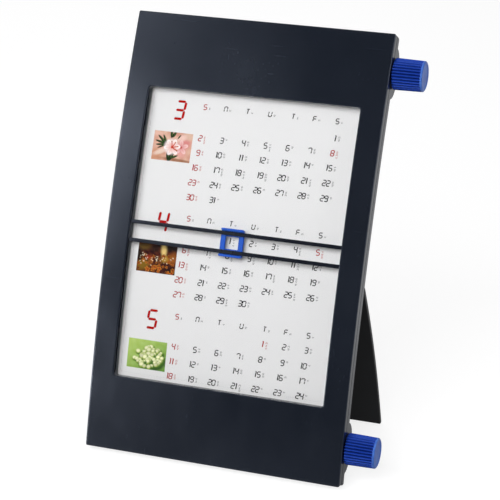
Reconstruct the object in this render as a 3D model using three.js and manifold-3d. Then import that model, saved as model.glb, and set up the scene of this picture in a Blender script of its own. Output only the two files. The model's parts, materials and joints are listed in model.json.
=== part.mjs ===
// A scroll desk calendar: a slim, gently arched plastic panel that leans back on a hinged leg.
// A paper strip with the months runs behind a clear window, from a lower roll to an upper one,
// and two ribbed knobs on the right turn the rolls. A twin-bar carriage slides up and down in
// the sides of the window and carries a small square cursor that slides from side to side.
//
// Millimetres. +Z up, the panel faces -Y, +X is to the right of someone reading it.
// The origin is the middle of the flat strip under the panel that rests on the desk.

import * as THREE from 'three';
import { mergeVertices } from 'three/addons/utils/BufferGeometryUtils.js';
import Module from 'manifold-3d';

const wasm = await Module();
wasm.setup();

// ---------------------------------------------------------------- driving dimensions

const panelWidth = 125;
const panelHeight = 208; // along the front of the arch
const coverDepth = 4.5; // of the back shell, behind the front shell's back edge
const leanAtFoot = THREE.MathUtils.degToRad(14.4); // of the front face, from the vertical
const archRadius = 780;
const footDrop = 1.1; // how far the lower back edge hangs below the lower front edge
const footCut = 0.7; // how much of that back edge is cut level to stand on

const gap = 0.3; // between pieces that touch or run on each other

const bezelWall = 2.0;
const bezelDepth = 4.1;
const coverWall = 1.6;
const coverBack = 1.3;

const sideBand = 11.1; // the front face beside, above and below the window
const topBand = 35.45;
const windowBottom = 35.35;
const windowWall = 3.0; // the frame of the window behind the front face
const grooveFront = 0.6; // the marker's groove starts this far behind the front face
const grooveLip = 1.6; // what is left of the frame behind the groove
const grooveDepth = 1.5;

const lensFlange = 1.0;
const lensFlangeLap = 2.7; // how far the flange reaches past the opening
const lensRise = 0.7;
const lensInset = 1.8; // the raised part of the lens is this much smaller than the opening

const paperThickness = 0.2;
const paperLap = 0.1; // how far the paper runs behind each side of the window's frame
const platenThickness = 0.8;
const platenOverrun = 4; // how far the platen runs past the window

const rollClear = 0.4; // between the rolls' sockets and the front shell's back edge
const lowerRollHeight = 16.7;
const upperRollDrop = 16.8; // of the upper roll's axis below the panel's top
const tubeRadius = 3.0;
const tubeBore = 2.5;
const tubeSetIn = 5.5; // a roller tube's ends, in from the panel's sides
const lowerPaperRadius = 5.4;
const upperPaperRadius = 3.9;

const bulgeHalfWidth = 12;
const bulgeDepth = 7.7; // beyond the panel's back

const plugPinRadius = 2.0;
const plugFlangeRadius = 4.0;
const plugFlange = 0.8;
const socketWall = 1.4;
const socketDepth = 3.2;
const socketSkin = 0.9; // what is left of the side wall behind the blind socket

const knobRadius = 7.3;
const knobLength = 13.5;
const knobRibs = 30;
const knobRibDepth = 0.45;
const knobSmoothEnd = 1.6;
const knobChamfer = 0.9;
const dragWasher = 0.5;
const dragWasherRadius = 4.2;

const markerHeight = 104.2; // middle of the carriage, up the panel
const barSpacing = 8.66;
const barWidth = 1.8;
const cursorWidth = 11.2;
const cursorOffset = -1.3; // the cursor's middle, across the panel
const cursorFrame = 2.4; // width of its two upright sides
const cursorPlate = 0.9;
const cursorLip = 1.07; // thickness of the lips that hook over the bars

const legRadius = 447; // of the leg's curved back
const legThickness = 2.4;
const legPinHeight = 81.5; // of the hinge pin above the desk
const legFootSetback = 66.3; // of the leg's foot behind the panel's foot, at the leg's back
const legFootLean = THREE.MathUtils.degToRad(17.3); // at the foot, from the vertical
const legPinRadius = 1.2;
const knuckleRadius = 2.8;
const earRadius = 3.0;
const earWidth = 5;
const earSetIn = 20; // the outer ears' middles, in from the panel's sides

const screwSetIn = 4.4; // the screws' axes, in from the panel's sides
const screwEndIn = 33; // the end screws, in from the panel's bottom and top
const screwShank = 1.1;
const screwHead = 2.1;
const screwHeadHeight = 0.8;

// ---------------------------------------------------------------- sizes that follow

const half = panelWidth / 2;
const panelThickness = bezelDepth + coverDepth;
const windowWidth = panelWidth - 2 * sideBand;
const windowHalf = windowWidth / 2;
const windowTop = panelHeight - topBand;
const paperWidth = windowWidth + 2 * paperLap;
const rollDepth = bezelDepth + rollClear + socketWall + gap + plugPinRadius; // behind the front face
const upperRollHeight = panelHeight - upperRollDrop;
const tubeReach = half - tubeSetIn; // half the length of a roller tube
const earSpacing = half - earSetIn;
const screwHeights = [screwEndIn, panelHeight / 2, panelHeight - screwEndIn];
const seam = bezelDepth + gap;
const grooveBack = bezelDepth - grooveLip;
const innerBack = panelThickness - coverBack;
const lensFlangeFront = seam;
const lensFlangeBack = lensFlangeFront + lensFlange;
const lensFront = lensFlangeFront - lensRise;
const paperFront = lensFlangeBack + gap;
const paperBack = paperFront + paperThickness;
const platenFront = paperBack + gap;
const platenBack = platenFront + platenThickness;
const barFront = grooveFront + gap;
const barBack = grooveBack - gap;
const cursorFront = barBack + gap;
const cursorBack = cursorFront + cursorPlate;
const stemRadius = tubeBore - gap;
const knobInner = half + gap + dragWasher + gap;
const knobOuter = knobInner + knobLength;

// ---------------------------------------------------------------- the panel's own coordinates
// u runs across the panel, s up its curved front and off back from that front. The front is an
// arc about a centre far behind the panel, so a point is found by its angle and its radius.

const archCentre = new THREE.Vector2(archRadius * Math.cos(leanAtFoot), -archRadius * Math.sin(leanAtFoot));

function angleAt(s) {
  return leanAtFoot + s / archRadius;
}

function panelPoint(s, off) {
  const radius = archRadius - off;
  const angle = angleAt(s);
  return new THREE.Vector2(archCentre.x - radius * Math.cos(angle), archCentre.y + radius * Math.sin(angle));
}

function setbackOf(point) {
  return archRadius - point.distanceTo(archCentre);
}

function heightOf(point) {
  const angle = Math.atan2(point.y - archCentre.y, archCentre.x - point.x);
  return (angle - leanAtFoot) * archRadius;
}

// The desk, and the middle of the strip under the panel that stands on it.
const underFront = panelPoint(0, seam);
const underBack = panelPoint(-footDrop, panelThickness);
const deskLevel = underBack.y + footCut;
const stripFront = underFront.clone().lerp(underBack, (deskLevel - underFront.y) / (underBack.y - underFront.y));
const stripBackAngle = Math.asin((deskLevel - archCentre.y) / (archRadius - panelThickness));
const stripBack = panelPoint((stripBackAngle - leanAtFoot) * archRadius, panelThickness);
const origin = stripFront.clone().add(stripBack).multiplyScalar(0.5);

const archStep = 6.5; // length of the flats that stand in for the arch

function arch(off, from, to) {
  const count = Math.max(1, Math.ceil(Math.abs(to - from) / archStep));
  return Array.from({ length: count + 1 }, (_, i) => panelPoint(from + ((to - from) * i) / count, off));
}

// ---------------------------------------------------------------- making solids

const acrossX = new THREE.Matrix4().makeBasis(
  new THREE.Vector3(0, 1, 0),
  new THREE.Vector3(0, 0, 1),
  new THREE.Vector3(1, 0, 0),
);

// An outline in the side view, carried across the panel from one u to another.
function extrudeAcross(points, from, to) {
  const geometry = new THREE.ExtrudeGeometry(new THREE.Shape(points), { depth: to - from, bevelEnabled: false });
  return geometry.translate(0, 0, from).applyMatrix4(acrossX);
}

// A block of the panel: between two values each of u, s and off.
function slab(u, s, off) {
  const front = arch(off[0], s[0], s[1]);
  const back = arch(off[1], s[1], s[0]);
  return extrudeAcross([...front, ...back], u[0], u[1]);
}

// A turned piece on the X axis, from [u, radius] pairs that start and end on the axis or close.
function turned(profile, segments = 32) {
  const points = profile.map(([u, radius]) => new THREE.Vector2(radius, u));
  return new THREE.LatheGeometry(points, segments).rotateZ(-Math.PI / 2);
}

function ring(from, to, inner, outer, segments = 32) {
  return turned([[from, inner], [from, outer], [to, outer], [to, inner], [from, inner]], segments);
}

function rod(from, to, radius, segments = 32) {
  return turned([[from, 0], [from, radius], [to, radius], [to, 0]], segments);
}

// Moves a piece made on the X axis to a point of the side view.
function toAxis(geometry, point) {
  return geometry.translate(0, point.x, point.y);
}

// A cylinder square to the panel's face, between two values of off.
function post(u, s, off, radius, segments = 20) {
  const angle = angleAt(s);
  const middle = panelPoint(s, (off[0] + off[1]) / 2);
  const frame = new THREE.Matrix4().makeBasis(
    new THREE.Vector3(1, 0, 0),
    new THREE.Vector3(0, Math.cos(angle), -Math.sin(angle)),
    new THREE.Vector3(0, Math.sin(angle), Math.cos(angle)),
  );
  frame.setPosition(u, middle.x, middle.y);
  return new THREE.CylinderGeometry(radius, radius, off[1] - off[0], segments).applyMatrix4(frame);
}

function solid(geometry) {
  const bare = geometry.clone();
  bare.deleteAttribute('normal');
  bare.deleteAttribute('uv');
  const merged = mergeVertices(bare, 1e-5);
  const mesh = new wasm.Mesh({
    numProp: 3,
    vertProperties: new Float32Array(merged.attributes.position.array),
    triVerts: new Uint32Array(merged.index.array),
  });
  return new wasm.Manifold(mesh);
}

function join(first, ...others) {
  return others.reduce((total, geometry) => total.add(solid(geometry)), first);
}

function cut(first, ...others) {
  return others.reduce((total, geometry) => total.subtract(solid(geometry)), first);
}

function surfaceOf(manifold) {
  const mesh = manifold.getMesh();
  const geometry = new THREE.BufferGeometry();
  const count = mesh.vertProperties.length / mesh.numProp;
  const positions = new Float32Array(count * 3);
  for (let i = 0; i < count; i += 1) {
    for (let k = 0; k < 3; k += 1) positions[i * 3 + k] = mesh.vertProperties[i * mesh.numProp + k];
  }
  geometry.setAttribute('position', new THREE.BufferAttribute(positions, 3));
  geometry.setIndex(new THREE.BufferAttribute(new Uint32Array(mesh.triVerts), 1));
  geometry.computeVertexNormals();
  return geometry;
}

function piece(name, shape, material) {
  const geometry = shape.isBufferGeometry ? shape : surfaceOf(shape);
  const mesh = new THREE.Mesh(geometry, material);
  mesh.name = name;
  return mesh;
}

// ---------------------------------------------------------------- materials

const navyPlastic = new THREE.MeshStandardMaterial({ color: 0x20242d, roughness: 0.55, metalness: 0 });
const bluePlastic = new THREE.MeshStandardMaterial({ color: 0x1238a8, roughness: 0.4, metalness: 0 });
const blackPlastic = new THREE.MeshStandardMaterial({ color: 0x14161b, roughness: 0.5, metalness: 0 });
const clearPlastic = new THREE.MeshStandardMaterial({
  color: 0xf2f5f7, roughness: 0.1, metalness: 0, transparent: true, opacity: 0.25,
});
const greyPlastic = new THREE.MeshStandardMaterial({ color: 0x9a9da1, roughness: 0.6, metalness: 0 });
const paper = new THREE.MeshStandardMaterial({ color: 0xededee, roughness: 0.85, metalness: 0 });
const steel = new THREE.MeshStandardMaterial({ color: 0xb9bcc0, roughness: 0.35, metalness: 1 });
const felt = new THREE.MeshStandardMaterial({ color: 0x2a2a2c, roughness: 0.95, metalness: 0 });

// ---------------------------------------------------------------- the panel's shell

const bothSides = [-1, 1];
const screwPlaces = screwHeights.flatMap((s) => bothSides.map((side) => ({ u: side * (half - screwSetIn), s })));

// The front shell: a face with the window in it, a rim all round and a frame behind the
// window's edge, whose two upright sides are grooved for the marker.
function frontBezel() {
  const whole = solid(slab([-half, half], [0, panelHeight], [0, bezelDepth]));
  const inside = slab(
    [-half + bezelWall, half - bezelWall],
    [bezelWall, panelHeight - bezelWall],
    [bezelWall, bezelDepth + 1],
  );
  const frame = slab(
    [-windowHalf - windowWall, windowHalf + windowWall],
    [windowBottom - windowWall, windowTop + windowWall],
    [bezelWall / 2, bezelDepth],
  );
  const opening = slab([-windowHalf, windowHalf], [windowBottom, windowTop], [-1, bezelDepth + 1]);
  const grooves = bothSides.map((side) => {
    const edges = [side * (windowHalf - 1), side * (windowHalf + grooveDepth)].sort((a, b) => a - b);
    return slab(edges, [windowBottom, windowTop], [grooveFront, grooveBack]);
  });
  const bosses = screwPlaces.map(({ u, s }) => post(u, s, [bezelWall / 2, bezelDepth], screwShank + gap + 1.2));
  const pilots = screwPlaces.map(({ u, s }) => post(u, s, [bezelWall + 0.4, bezelDepth + 1], screwShank + gap));
  return cut(join(cut(whole, inside), frame, ...bosses), opening, ...grooves, ...pilots);
}

// The hump over a roll, as points from its lower side to its upper side. It is half an ellipse.
function hump(centre, halfWidth, base, depth) {
  const count = 16;
  return Array.from({ length: count + 1 }, (_, i) => {
    const turn = Math.PI * (1 - i / count);
    return panelPoint(centre + halfWidth * Math.cos(turn), base + depth * Math.sin(turn));
  });
}

// One line up the back of the panel over both humps, from one s to another.
function backLine(from, to, off, halfWidth, depth) {
  return [
    ...arch(off, from, lowerRollHeight - halfWidth).slice(0, -1),
    ...hump(lowerRollHeight, halfWidth, off, depth),
    ...arch(off, lowerRollHeight + halfWidth, upperRollHeight - halfWidth).slice(1, -1),
    ...hump(upperRollHeight, halfWidth, off, depth),
    ...arch(off, upperRollHeight + halfWidth, to).slice(1),
  ];
}

const edgeEase = 1; // the small bevel along the panel's upper back edge

function coverOutline() {
  const up = backLine(heightOf(stripBack), panelHeight - edgeEase, panelThickness, bulgeHalfWidth, bulgeDepth);
  const top = [panelPoint(panelHeight, panelThickness - edgeEase), panelPoint(panelHeight, seam)];
  return [stripFront, ...up, ...top, ...arch(seam, panelHeight, 0).slice(1)];
}

function coverCavity() {
  const open = seam - 1;
  const up = backLine(
    coverWall,
    panelHeight - coverWall,
    innerBack,
    bulgeHalfWidth - coverWall,
    bulgeDepth,
  );
  return [...up, ...arch(open, panelHeight - coverWall, coverWall)];
}

// The hinge pin runs level across the back of the panel, in the middle of the leg's thickness.
const legFoot = new THREE.Vector2(origin.x + legFootSetback, deskLevel);
const legCentre = new THREE.Vector2(
  legFoot.x - legRadius * Math.cos(legFootLean),
  legFoot.y - legRadius * Math.sin(legFootLean),
);

function legPoint(angle, radius) {
  return new THREE.Vector2(legCentre.x + radius * Math.cos(angle), legCentre.y + radius * Math.sin(angle));
}

const legMiddle = legRadius - legThickness / 2;
const legPinAngle = Math.asin((deskLevel + legPinHeight - legCentre.y) / legMiddle);
const hinge = legPoint(legPinAngle, legMiddle);

// One ear of the hinge, a block that stands on the panel's back and is round over the pin.
function earOutline() {
  const s = heightOf(hinge);
  const tip = setbackOf(hinge);
  const root = innerBack + coverBack / 2;
  const count = 12;
  const round = Array.from({ length: count + 1 }, (_, i) => {
    const turn = (Math.PI * i) / count;
    return panelPoint(s - earRadius * Math.cos(turn), tip + earRadius * Math.sin(turn));
  });
  return [panelPoint(s - earRadius, root), ...round, panelPoint(s + earRadius, root)];
}

const earMiddles = [-earSpacing, 0, earSpacing];

const lowerAxis = panelPoint(lowerRollHeight, rollDepth);
const upperAxis = panelPoint(upperRollHeight, rollDepth);

// The back shell: flat between two rounded humps that house the rolls. Its left wall has a
// blind socket for each roll, its right wall a hole for each knob's stem, and the hinge's
// ears stand on its middle.
function rearCover() {
  const whole = solid(extrudeAcross(coverOutline(), -half, half));
  const cavity = extrudeAcross(coverCavity(), -half + coverWall, half - coverWall);
  const ears = earMiddles.map((u) => extrudeAcross(earOutline(), u - earWidth / 2, u + earWidth / 2));
  const bosses = screwPlaces.map(({ u, s }) => post(u, s, [seam, innerBack + coverBack / 2], screwShank + gap + 1.7));
  const sockets = [lowerAxis, upperAxis].map((axis) => {
    const from = -half + socketSkin;
    return toAxis(rod(from, from + socketDepth, plugPinRadius + gap + socketWall, 28), axis);
  });
  const bores = [lowerAxis, upperAxis].map((axis) => {
    return toAxis(rod(-half + socketSkin, 0, plugPinRadius + gap, 28), axis);
  });
  const stemHoles = [lowerAxis, upperAxis].map((axis) => {
    return toAxis(rod(half - coverWall - 1, half + 1, stemRadius + gap, 28), axis);
  });
  const screwHoles = screwPlaces.map(({ u, s }) => post(u, s, [seam - 1, panelThickness + 1], screwShank + gap));
  const headPockets = screwPlaces.map(({ u, s }) => {
    return post(u, s, [panelThickness - screwHeadHeight - gap, panelThickness + 1], screwHead + gap);
  });
  const pinHole = toAxis(rod(-half, half, legPinRadius + gap, 24), hinge);
  const shell = join(cut(whole, cavity), ...ears, ...bosses, ...sockets);
  return cut(shell, ...bores, ...stemHoles, ...screwHoles, ...headPockets, pinHole);
}

function coverScrew(u, s) {
  const headBack = panelThickness - 0.05;
  const headFront = headBack - screwHeadHeight;
  const shank = post(u, s, [bezelWall + 0.4 + gap, headFront + 0.2], screwShank, 16);
  return join(solid(post(u, s, [headFront, headBack], screwHead, 20)), shank);
}

// ---------------------------------------------------------------- window, paper and rolls

// The clear window: a flange that lies behind the window's frame and a raised middle.
function windowLens() {
  const flange = slab(
    [-windowHalf - lensFlangeLap, windowHalf + lensFlangeLap],
    [windowBottom - lensFlangeLap, windowTop + lensFlangeLap],
    [lensFlangeFront, lensFlangeBack],
  );
  const raised = slab(
    [-windowHalf + lensInset, windowHalf - lensInset],
    [windowBottom + lensInset, windowTop - lensInset],
    [lensFront, lensFlangeFront + lensFlange / 2],
  );
  return join(solid(flange), raised);
}

// The sheet that backs the paper behind the window.
function paperPlaten() {
  const side = paperWidth / 2 + 1;
  return slab([-side, side], [windowBottom - platenOverrun, windowTop + platenOverrun], [platenFront, platenBack]);
}

// Where a line from a point touches a circle, on the side nearer the panel's front.
function tangentPoint(from, centre, radius) {
  const away = centre.clone().sub(from);
  const reach = away.length();
  const lean = Math.asin(radius / reach);
  const length = Math.sqrt(reach * reach - radius * radius);
  const touches = [-lean, lean].map((turn) => {
    return away.clone().rotateAround(new THREE.Vector2(), turn).setLength(length).add(from);
  });
  return setbackOf(touches[0]) < setbackOf(touches[1]) ? touches[0] : touches[1];
}

// The paper between the two rolls: it lies on its platen behind the window, goes straight from
// each end of the platen to the front of that roll, and ends where the roll takes over.
function paperBand() {
  const middle = (paperFront + paperBack) / 2;
  const side = (edge, axis, rollRadius, wrap) => {
    const radius = rollRadius + gap + paperThickness / 2;
    const touch = tangentPoint(panelPoint(edge, middle), axis, radius);
    return [0, 0.5, 1].map((part) => touch.clone().rotateAround(axis, wrap * part));
  };
  const wrap = THREE.MathUtils.degToRad(20);
  const bottomEdge = windowBottom - platenOverrun;
  const topEdge = windowTop + platenOverrun;
  const lower = side(bottomEdge, lowerAxis, lowerPaperRadius, wrap).reverse();
  const upper = side(topEdge, upperAxis, upperPaperRadius, -wrap);
  const line = [...lower, ...arch(middle, bottomEdge, topEdge), ...upper];
  const offset = (sign) => line.map((point, i) => {
    const before = line[Math.max(0, i - 1)];
    const after = line[Math.min(line.length - 1, i + 1)];
    const along = after.clone().sub(before).normalize();
    return new THREE.Vector2(-along.y, along.x).multiplyScalar((sign * paperThickness) / 2).add(point);
  });
  return extrudeAcross([...offset(1), ...offset(-1).reverse()], -paperWidth / 2, paperWidth / 2);
}

function paperRoll(radius) {
  return ring(-paperWidth / 2, paperWidth / 2, tubeRadius + gap, radius, 40);
}

function rollerTube() {
  return ring(-tubeReach, tubeReach, tubeBore, tubeRadius, 32);
}

// The plug in the left end of a roller tube, with the pin that it turns on.
function endPlug() {
  const pinEnd = -half + socketSkin + gap;
  const flangeOuter = -half + socketSkin + socketDepth + gap;
  const flangeInner = flangeOuter + plugFlange;
  return turned([
    [pinEnd, 0],
    [pinEnd, plugPinRadius - 0.3],
    [pinEnd + 0.3, plugPinRadius],
    [flangeOuter, plugPinRadius],
    [flangeOuter, plugFlangeRadius],
    [flangeInner, plugFlangeRadius],
    [flangeInner, stemRadius],
    [-tubeReach + 8, stemRadius],
    [-tubeReach + 8.5, stemRadius - 0.5],
    [-tubeReach + 8.5, 0],
  ]);
}

// A knob: ribbed round its grip, smooth and chamfered at its outer end, with a stem that
// goes through the side of the panel into the roller tube.
function knob() {
  const grip = new THREE.Shape();
  for (let i = 0; i < knobRibs; i += 1) {
    const crest = (2 * Math.PI * (i - 0.22)) / knobRibs;
    const fall = (2 * Math.PI * (i + 0.22)) / knobRibs;
    const valley = (2 * Math.PI * (i + 0.5)) / knobRibs;
    const low = knobRadius - knobRibDepth;
    if (i === 0) grip.moveTo(knobRadius * Math.cos(crest), knobRadius * Math.sin(crest));
    else grip.lineTo(knobRadius * Math.cos(crest), knobRadius * Math.sin(crest));
    grip.lineTo(knobRadius * Math.cos(fall), knobRadius * Math.sin(fall));
    grip.lineTo(low * Math.cos(valley), low * Math.sin(valley));
  }
  const smoothFrom = knobOuter - knobSmoothEnd;
  const ribs = new THREE.ExtrudeGeometry(grip, { depth: smoothFrom + 0.2 - knobInner, bevelEnabled: false });
  ribs.translate(0, 0, knobInner).applyMatrix4(acrossX);
  const body = turned([
    [half - coverWall - gap - 10, 0],
    [half - coverWall - gap - 10, stemRadius - 0.5],
    [half - coverWall - gap - 9.5, stemRadius],
    [knobInner + 0.4, stemRadius],
    [knobInner + 0.4, knobRadius - knobRibDepth - 0.2],
    [smoothFrom, knobRadius - knobRibDepth - 0.2],
    [smoothFrom, knobRadius],
    [knobOuter - knobChamfer, knobRadius],
    [knobOuter, knobRadius - knobChamfer],
    [knobOuter, 0],
  ], 60);
  return join(solid(body), ribs);
}

function dragRing() {
  return ring(half + gap, half + gap + dragWasher, stemRadius + gap, dragWasherRadius, 28);
}

// ---------------------------------------------------------------- the date marker

// Two bars across the window, joined at each end by a link that runs in the window's groove.
function markerCarriage() {
  const reach = windowHalf + grooveDepth - gap;
  const bars = bothSides.map((side) => {
    const middle = markerHeight + (side * barSpacing) / 2;
    return slab([-reach, reach], [middle - barWidth / 2, middle + barWidth / 2], [barFront, barBack]);
  });
  const links = bothSides.map((side) => {
    const ends = [side * (windowHalf + gap), side * reach].sort((a, b) => a - b);
    const tall = barSpacing / 2;
    return slab(ends, [markerHeight - tall, markerHeight + tall], [barFront, barBack]);
  });
  return join(solid(bars[0]), bars[1], ...links);
}

// A square ring that lies behind the bars, with a lip above and below that hooks over them.
function markerCursor() {
  const sides = [cursorOffset - cursorWidth / 2, cursorOffset + cursorWidth / 2];
  const barEdge = (barSpacing + barWidth) / 2 + gap;
  const reach = barEdge + cursorLip;
  const plate = slab(sides, [markerHeight - reach, markerHeight + reach], [cursorFront, cursorBack]);
  const hole = slab(
    [sides[0] + cursorFrame, sides[1] - cursorFrame],
    [markerHeight - (barSpacing - barWidth) / 2 + 0.5, markerHeight + (barSpacing - barWidth) / 2 - 0.5],
    [cursorFront - 1, cursorBack + 1],
  );
  const lips = bothSides.map((side) => {
    const ends = [markerHeight + side * barEdge, markerHeight + side * reach].sort((a, b) => a - b);
    return slab(sides, ends, [barFront, cursorFront + cursorPlate / 2]);
  });
  return cut(join(solid(plate), ...lips), hole);
}

// ---------------------------------------------------------------- the leg

function crossing(radius, target) {
  let low = legPinAngle - 0.02;
  let high = legPinAngle + 0.05;
  for (let i = 0; i < 50; i += 1) {
    const middle = (low + high) / 2;
    if (setbackOf(legPoint(middle, radius)) > target) low = middle;
    else high = middle;
  }
  return low;
}

function legArc(radius, from, to) {
  const count = 14;
  return Array.from({ length: count + 1 }, (_, i) => legPoint(from + ((to - from) * i) / count, radius));
}

// A curved plate as wide as the panel. Its foot is level with the desk, its heel lies along
// the panel's back and stops it there, and its knuckles sit between the hinge's ears.
function standLeg() {
  const heel = panelThickness + gap;
  const inner = legRadius - legThickness;
  const footOuter = Math.asin((deskLevel - legCentre.y) / legRadius);
  const footInner = Math.asin((deskLevel - legCentre.y) / inner);
  const back = legArc(legRadius, footOuter, crossing(legRadius, heel));
  const front = legArc(inner, crossing(inner, heel), footInner);
  const plate = solid(extrudeAcross([...back, ...front], -half, half));
  const clear = earRadius + 0.5;
  const notchHalf = earWidth / 2 + gap + 0.1;
  const upward = new THREE.Vector2(-Math.sin(legPinAngle), Math.cos(legPinAngle));
  const sideways = new THREE.Vector2(upward.y, -upward.x);
  const place = (along, across) => hinge.clone().addScaledVector(upward, along).addScaledVector(sideways, across);
  const round = Array.from({ length: 13 }, (_, i) => {
    const turn = Math.PI + (Math.PI * i) / 12;
    return place(clear * Math.sin(turn), clear * Math.cos(turn));
  });
  const notch = [...round, place(12, clear), place(12, -clear)];
  const notches = earMiddles.map((u) => extrudeAcross(notch, u - notchHalf, u + notchHalf));
  const knuckles = bothSides.map((side) => {
    const ends = [side * notchHalf, side * (earSpacing - notchHalf)].sort((a, b) => a - b);
    return toAxis(rod(ends[0], ends[1], knuckleRadius, 24), hinge);
  });
  const bore = toAxis(rod(-earSpacing, earSpacing, legPinRadius + gap, 24), hinge);
  return cut(join(cut(plate, ...notches), ...knuckles), bore);
}

function hingePin() {
  const reach = earSpacing + earWidth / 2;
  const ease = 0.3;
  return turned([
    [-reach, 0],
    [-reach, legPinRadius - ease],
    [-reach + ease, legPinRadius],
    [reach - ease, legPinRadius],
    [reach, legPinRadius - ease],
    [reach, 0],
  ], 20);
}

// ---------------------------------------------------------------- putting it together

function at(point, ...pieces) {
  const group = new THREE.Group();
  group.position.set(0, point.x, point.y);
  group.add(...pieces);
  return group;
}

const panel = new THREE.Group();
panel.add(
  piece('front_bezel', frontBezel(), navyPlastic),
  piece('rear_cover', rearCover(), navyPlastic),
  piece('window_lens', windowLens(), clearPlastic),
  piece('paper_platen', paperPlaten(), greyPlastic),
  piece('paper_band', paperBand(), paper),
);
screwPlaces.forEach(({ u, s }, i) => {
  panel.add(piece(`cover_screw_${i + 1}`, coverScrew(u, s), steel));
});

const rolls = [
  { label: 'lower', axis: lowerAxis, radius: lowerPaperRadius },
  { label: 'upper', axis: upperAxis, radius: upperPaperRadius },
];
for (const { label, axis, radius } of rolls) {
  panel.add(at(
    axis,
    piece(`roller_tube_${label}`, rollerTube(), greyPlastic),
    piece(`paper_roll_${label}`, paperRoll(radius), paper),
    piece(`end_plug_${label}`, endPlug(), bluePlastic),
    piece(`knob_${label}`, knob(), bluePlastic),
    piece(`drag_washer_${label}`, dragRing(), felt),
  ));
}

panel.add(
  piece('marker_carriage', markerCarriage(), blackPlastic),
  piece('marker_cursor', markerCursor(), bluePlastic),
  piece('stand_leg', standLeg(), navyPlastic),
  at(hinge, piece('hinge_pin', hingePin(), steel)),
);

panel.position.set(0, -origin.x, -origin.y);

const calendar = new THREE.Group();
calendar.add(panel);

export default calendar;
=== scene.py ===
# %% [markdown]
# A desk calendar that scrolls: a slim arched case stands on a folding leg, a printed paper
# strip runs behind its clear window, and two ribbed knobs wind the strip on. The lesson builds
# each piece as a surface worked out with numpy and then gives it a procedural finish.
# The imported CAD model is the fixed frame: every place below comes from it.

# %% The frame
import json
import math

import bmesh
import bpy
import numpy as np
from mathutils import Matrix, Vector


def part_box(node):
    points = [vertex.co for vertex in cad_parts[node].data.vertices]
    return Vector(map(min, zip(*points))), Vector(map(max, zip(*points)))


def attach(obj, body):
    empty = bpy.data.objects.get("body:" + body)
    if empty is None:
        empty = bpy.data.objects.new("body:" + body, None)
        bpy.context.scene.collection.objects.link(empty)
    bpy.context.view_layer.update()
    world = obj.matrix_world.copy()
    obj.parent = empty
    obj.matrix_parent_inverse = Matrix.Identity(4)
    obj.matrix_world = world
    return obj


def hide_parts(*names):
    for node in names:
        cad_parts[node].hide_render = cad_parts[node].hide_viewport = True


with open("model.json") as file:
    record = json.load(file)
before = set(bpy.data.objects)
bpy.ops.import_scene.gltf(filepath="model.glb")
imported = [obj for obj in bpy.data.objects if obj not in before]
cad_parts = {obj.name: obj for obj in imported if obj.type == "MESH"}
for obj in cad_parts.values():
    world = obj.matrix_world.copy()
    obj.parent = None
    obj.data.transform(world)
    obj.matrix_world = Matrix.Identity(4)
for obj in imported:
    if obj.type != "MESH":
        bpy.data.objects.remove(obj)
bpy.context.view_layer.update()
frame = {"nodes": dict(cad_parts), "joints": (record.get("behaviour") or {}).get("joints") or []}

joints = {joint["name"]: joint for joint in frame["joints"]}

# %% [markdown]
# The front of the case is part of a large cylinder whose axis lies far behind it. A place on
# the case is easiest to say as u across, s up the curved front and off behind the front, all
# in millimetres. One function turns those into the frame's metres. The centre of the arch is
# the axis that the date marker swings about, so it is read from that joint.

# %% Curved coordinates
ARCH_CENTRE = np.array(joints["marker_travel"]["pos_m"])[1:] * 1000
ARCH_RADIUS = 780.0
LEAN = math.radians(14.4)
WIDTH, HEIGHT = 125.0, 208.0
HALF = WIDTH / 2


def side_point(s, off):
    """The y and z of a point: a turn of lean + s / radius about the centre, off inside the arc."""
    turn = LEAN + np.asarray(s, float) / ARCH_RADIUS
    radius = ARCH_RADIUS - np.asarray(off, float)
    return ARCH_CENTRE[0] - radius * np.cos(turn), ARCH_CENTRE[1] + radius * np.sin(turn)


def panel(u, s, off):
    """The points of the arrays u, s and off as an array of x, y, z in metres."""
    y, z = side_point(s, off)
    return np.stack(np.broadcast_arrays(np.asarray(u, float), y, z), axis=-1) / 1000


print("foot of the front face at", panel(0, 0, 0).round(4))

# %% [markdown]
# Every new piece goes through one helper: it puts the points and faces into a mesh, turns the
# faces outwards, keeps a number per point that says how close it is to a moulded edge (on the
# knobs it marks where highlight is painted), and lets the piece ride on its body. Smooth shading
# with marked sharp edges keeps the flats flat.

# %% Making a piece
def grid_faces(rows, columns, loop_rows=False, loop_columns=False):
    """Four-sided faces between neighbours of a grid, joined round where a direction loops."""
    r = np.arange(rows if loop_rows else rows - 1)[:, None]
    c = np.arange(columns if loop_columns else columns - 1)[None, :]
    r2, c2 = (r + 1) % rows, (c + 1) % columns
    corners = [r * columns + c, r * columns + c2, r2 * columns + c2, r2 * columns + c]
    return np.stack(np.broadcast_arrays(*corners), axis=-1).reshape(-1, 4)


def placed(name, data):
    """A new object in the scene, at the origin."""
    made = bpy.data.objects.new(name, data)
    bpy.context.scene.collection.objects.link(made)
    return made


def face_outwards(mesh, weld=0.0):
    """Turns the faces of a closed mesh outwards, after joining the points nearer than weld."""
    work = bmesh.new()
    work.from_mesh(mesh)
    if weld:
        bmesh.ops.remove_doubles(work, verts=work.verts, dist=weld)
    bmesh.ops.recalc_face_normals(work, faces=work.faces)
    work.to_mesh(mesh)
    work.free()


def mark_points(mesh, name, values):
    """One number for each point, which a material can read by name."""
    layer = mesh.attributes.new(name, "FLOAT", "POINT")
    layer.data.foreach_set("value", np.ravel(values).astype(np.float32))


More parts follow.
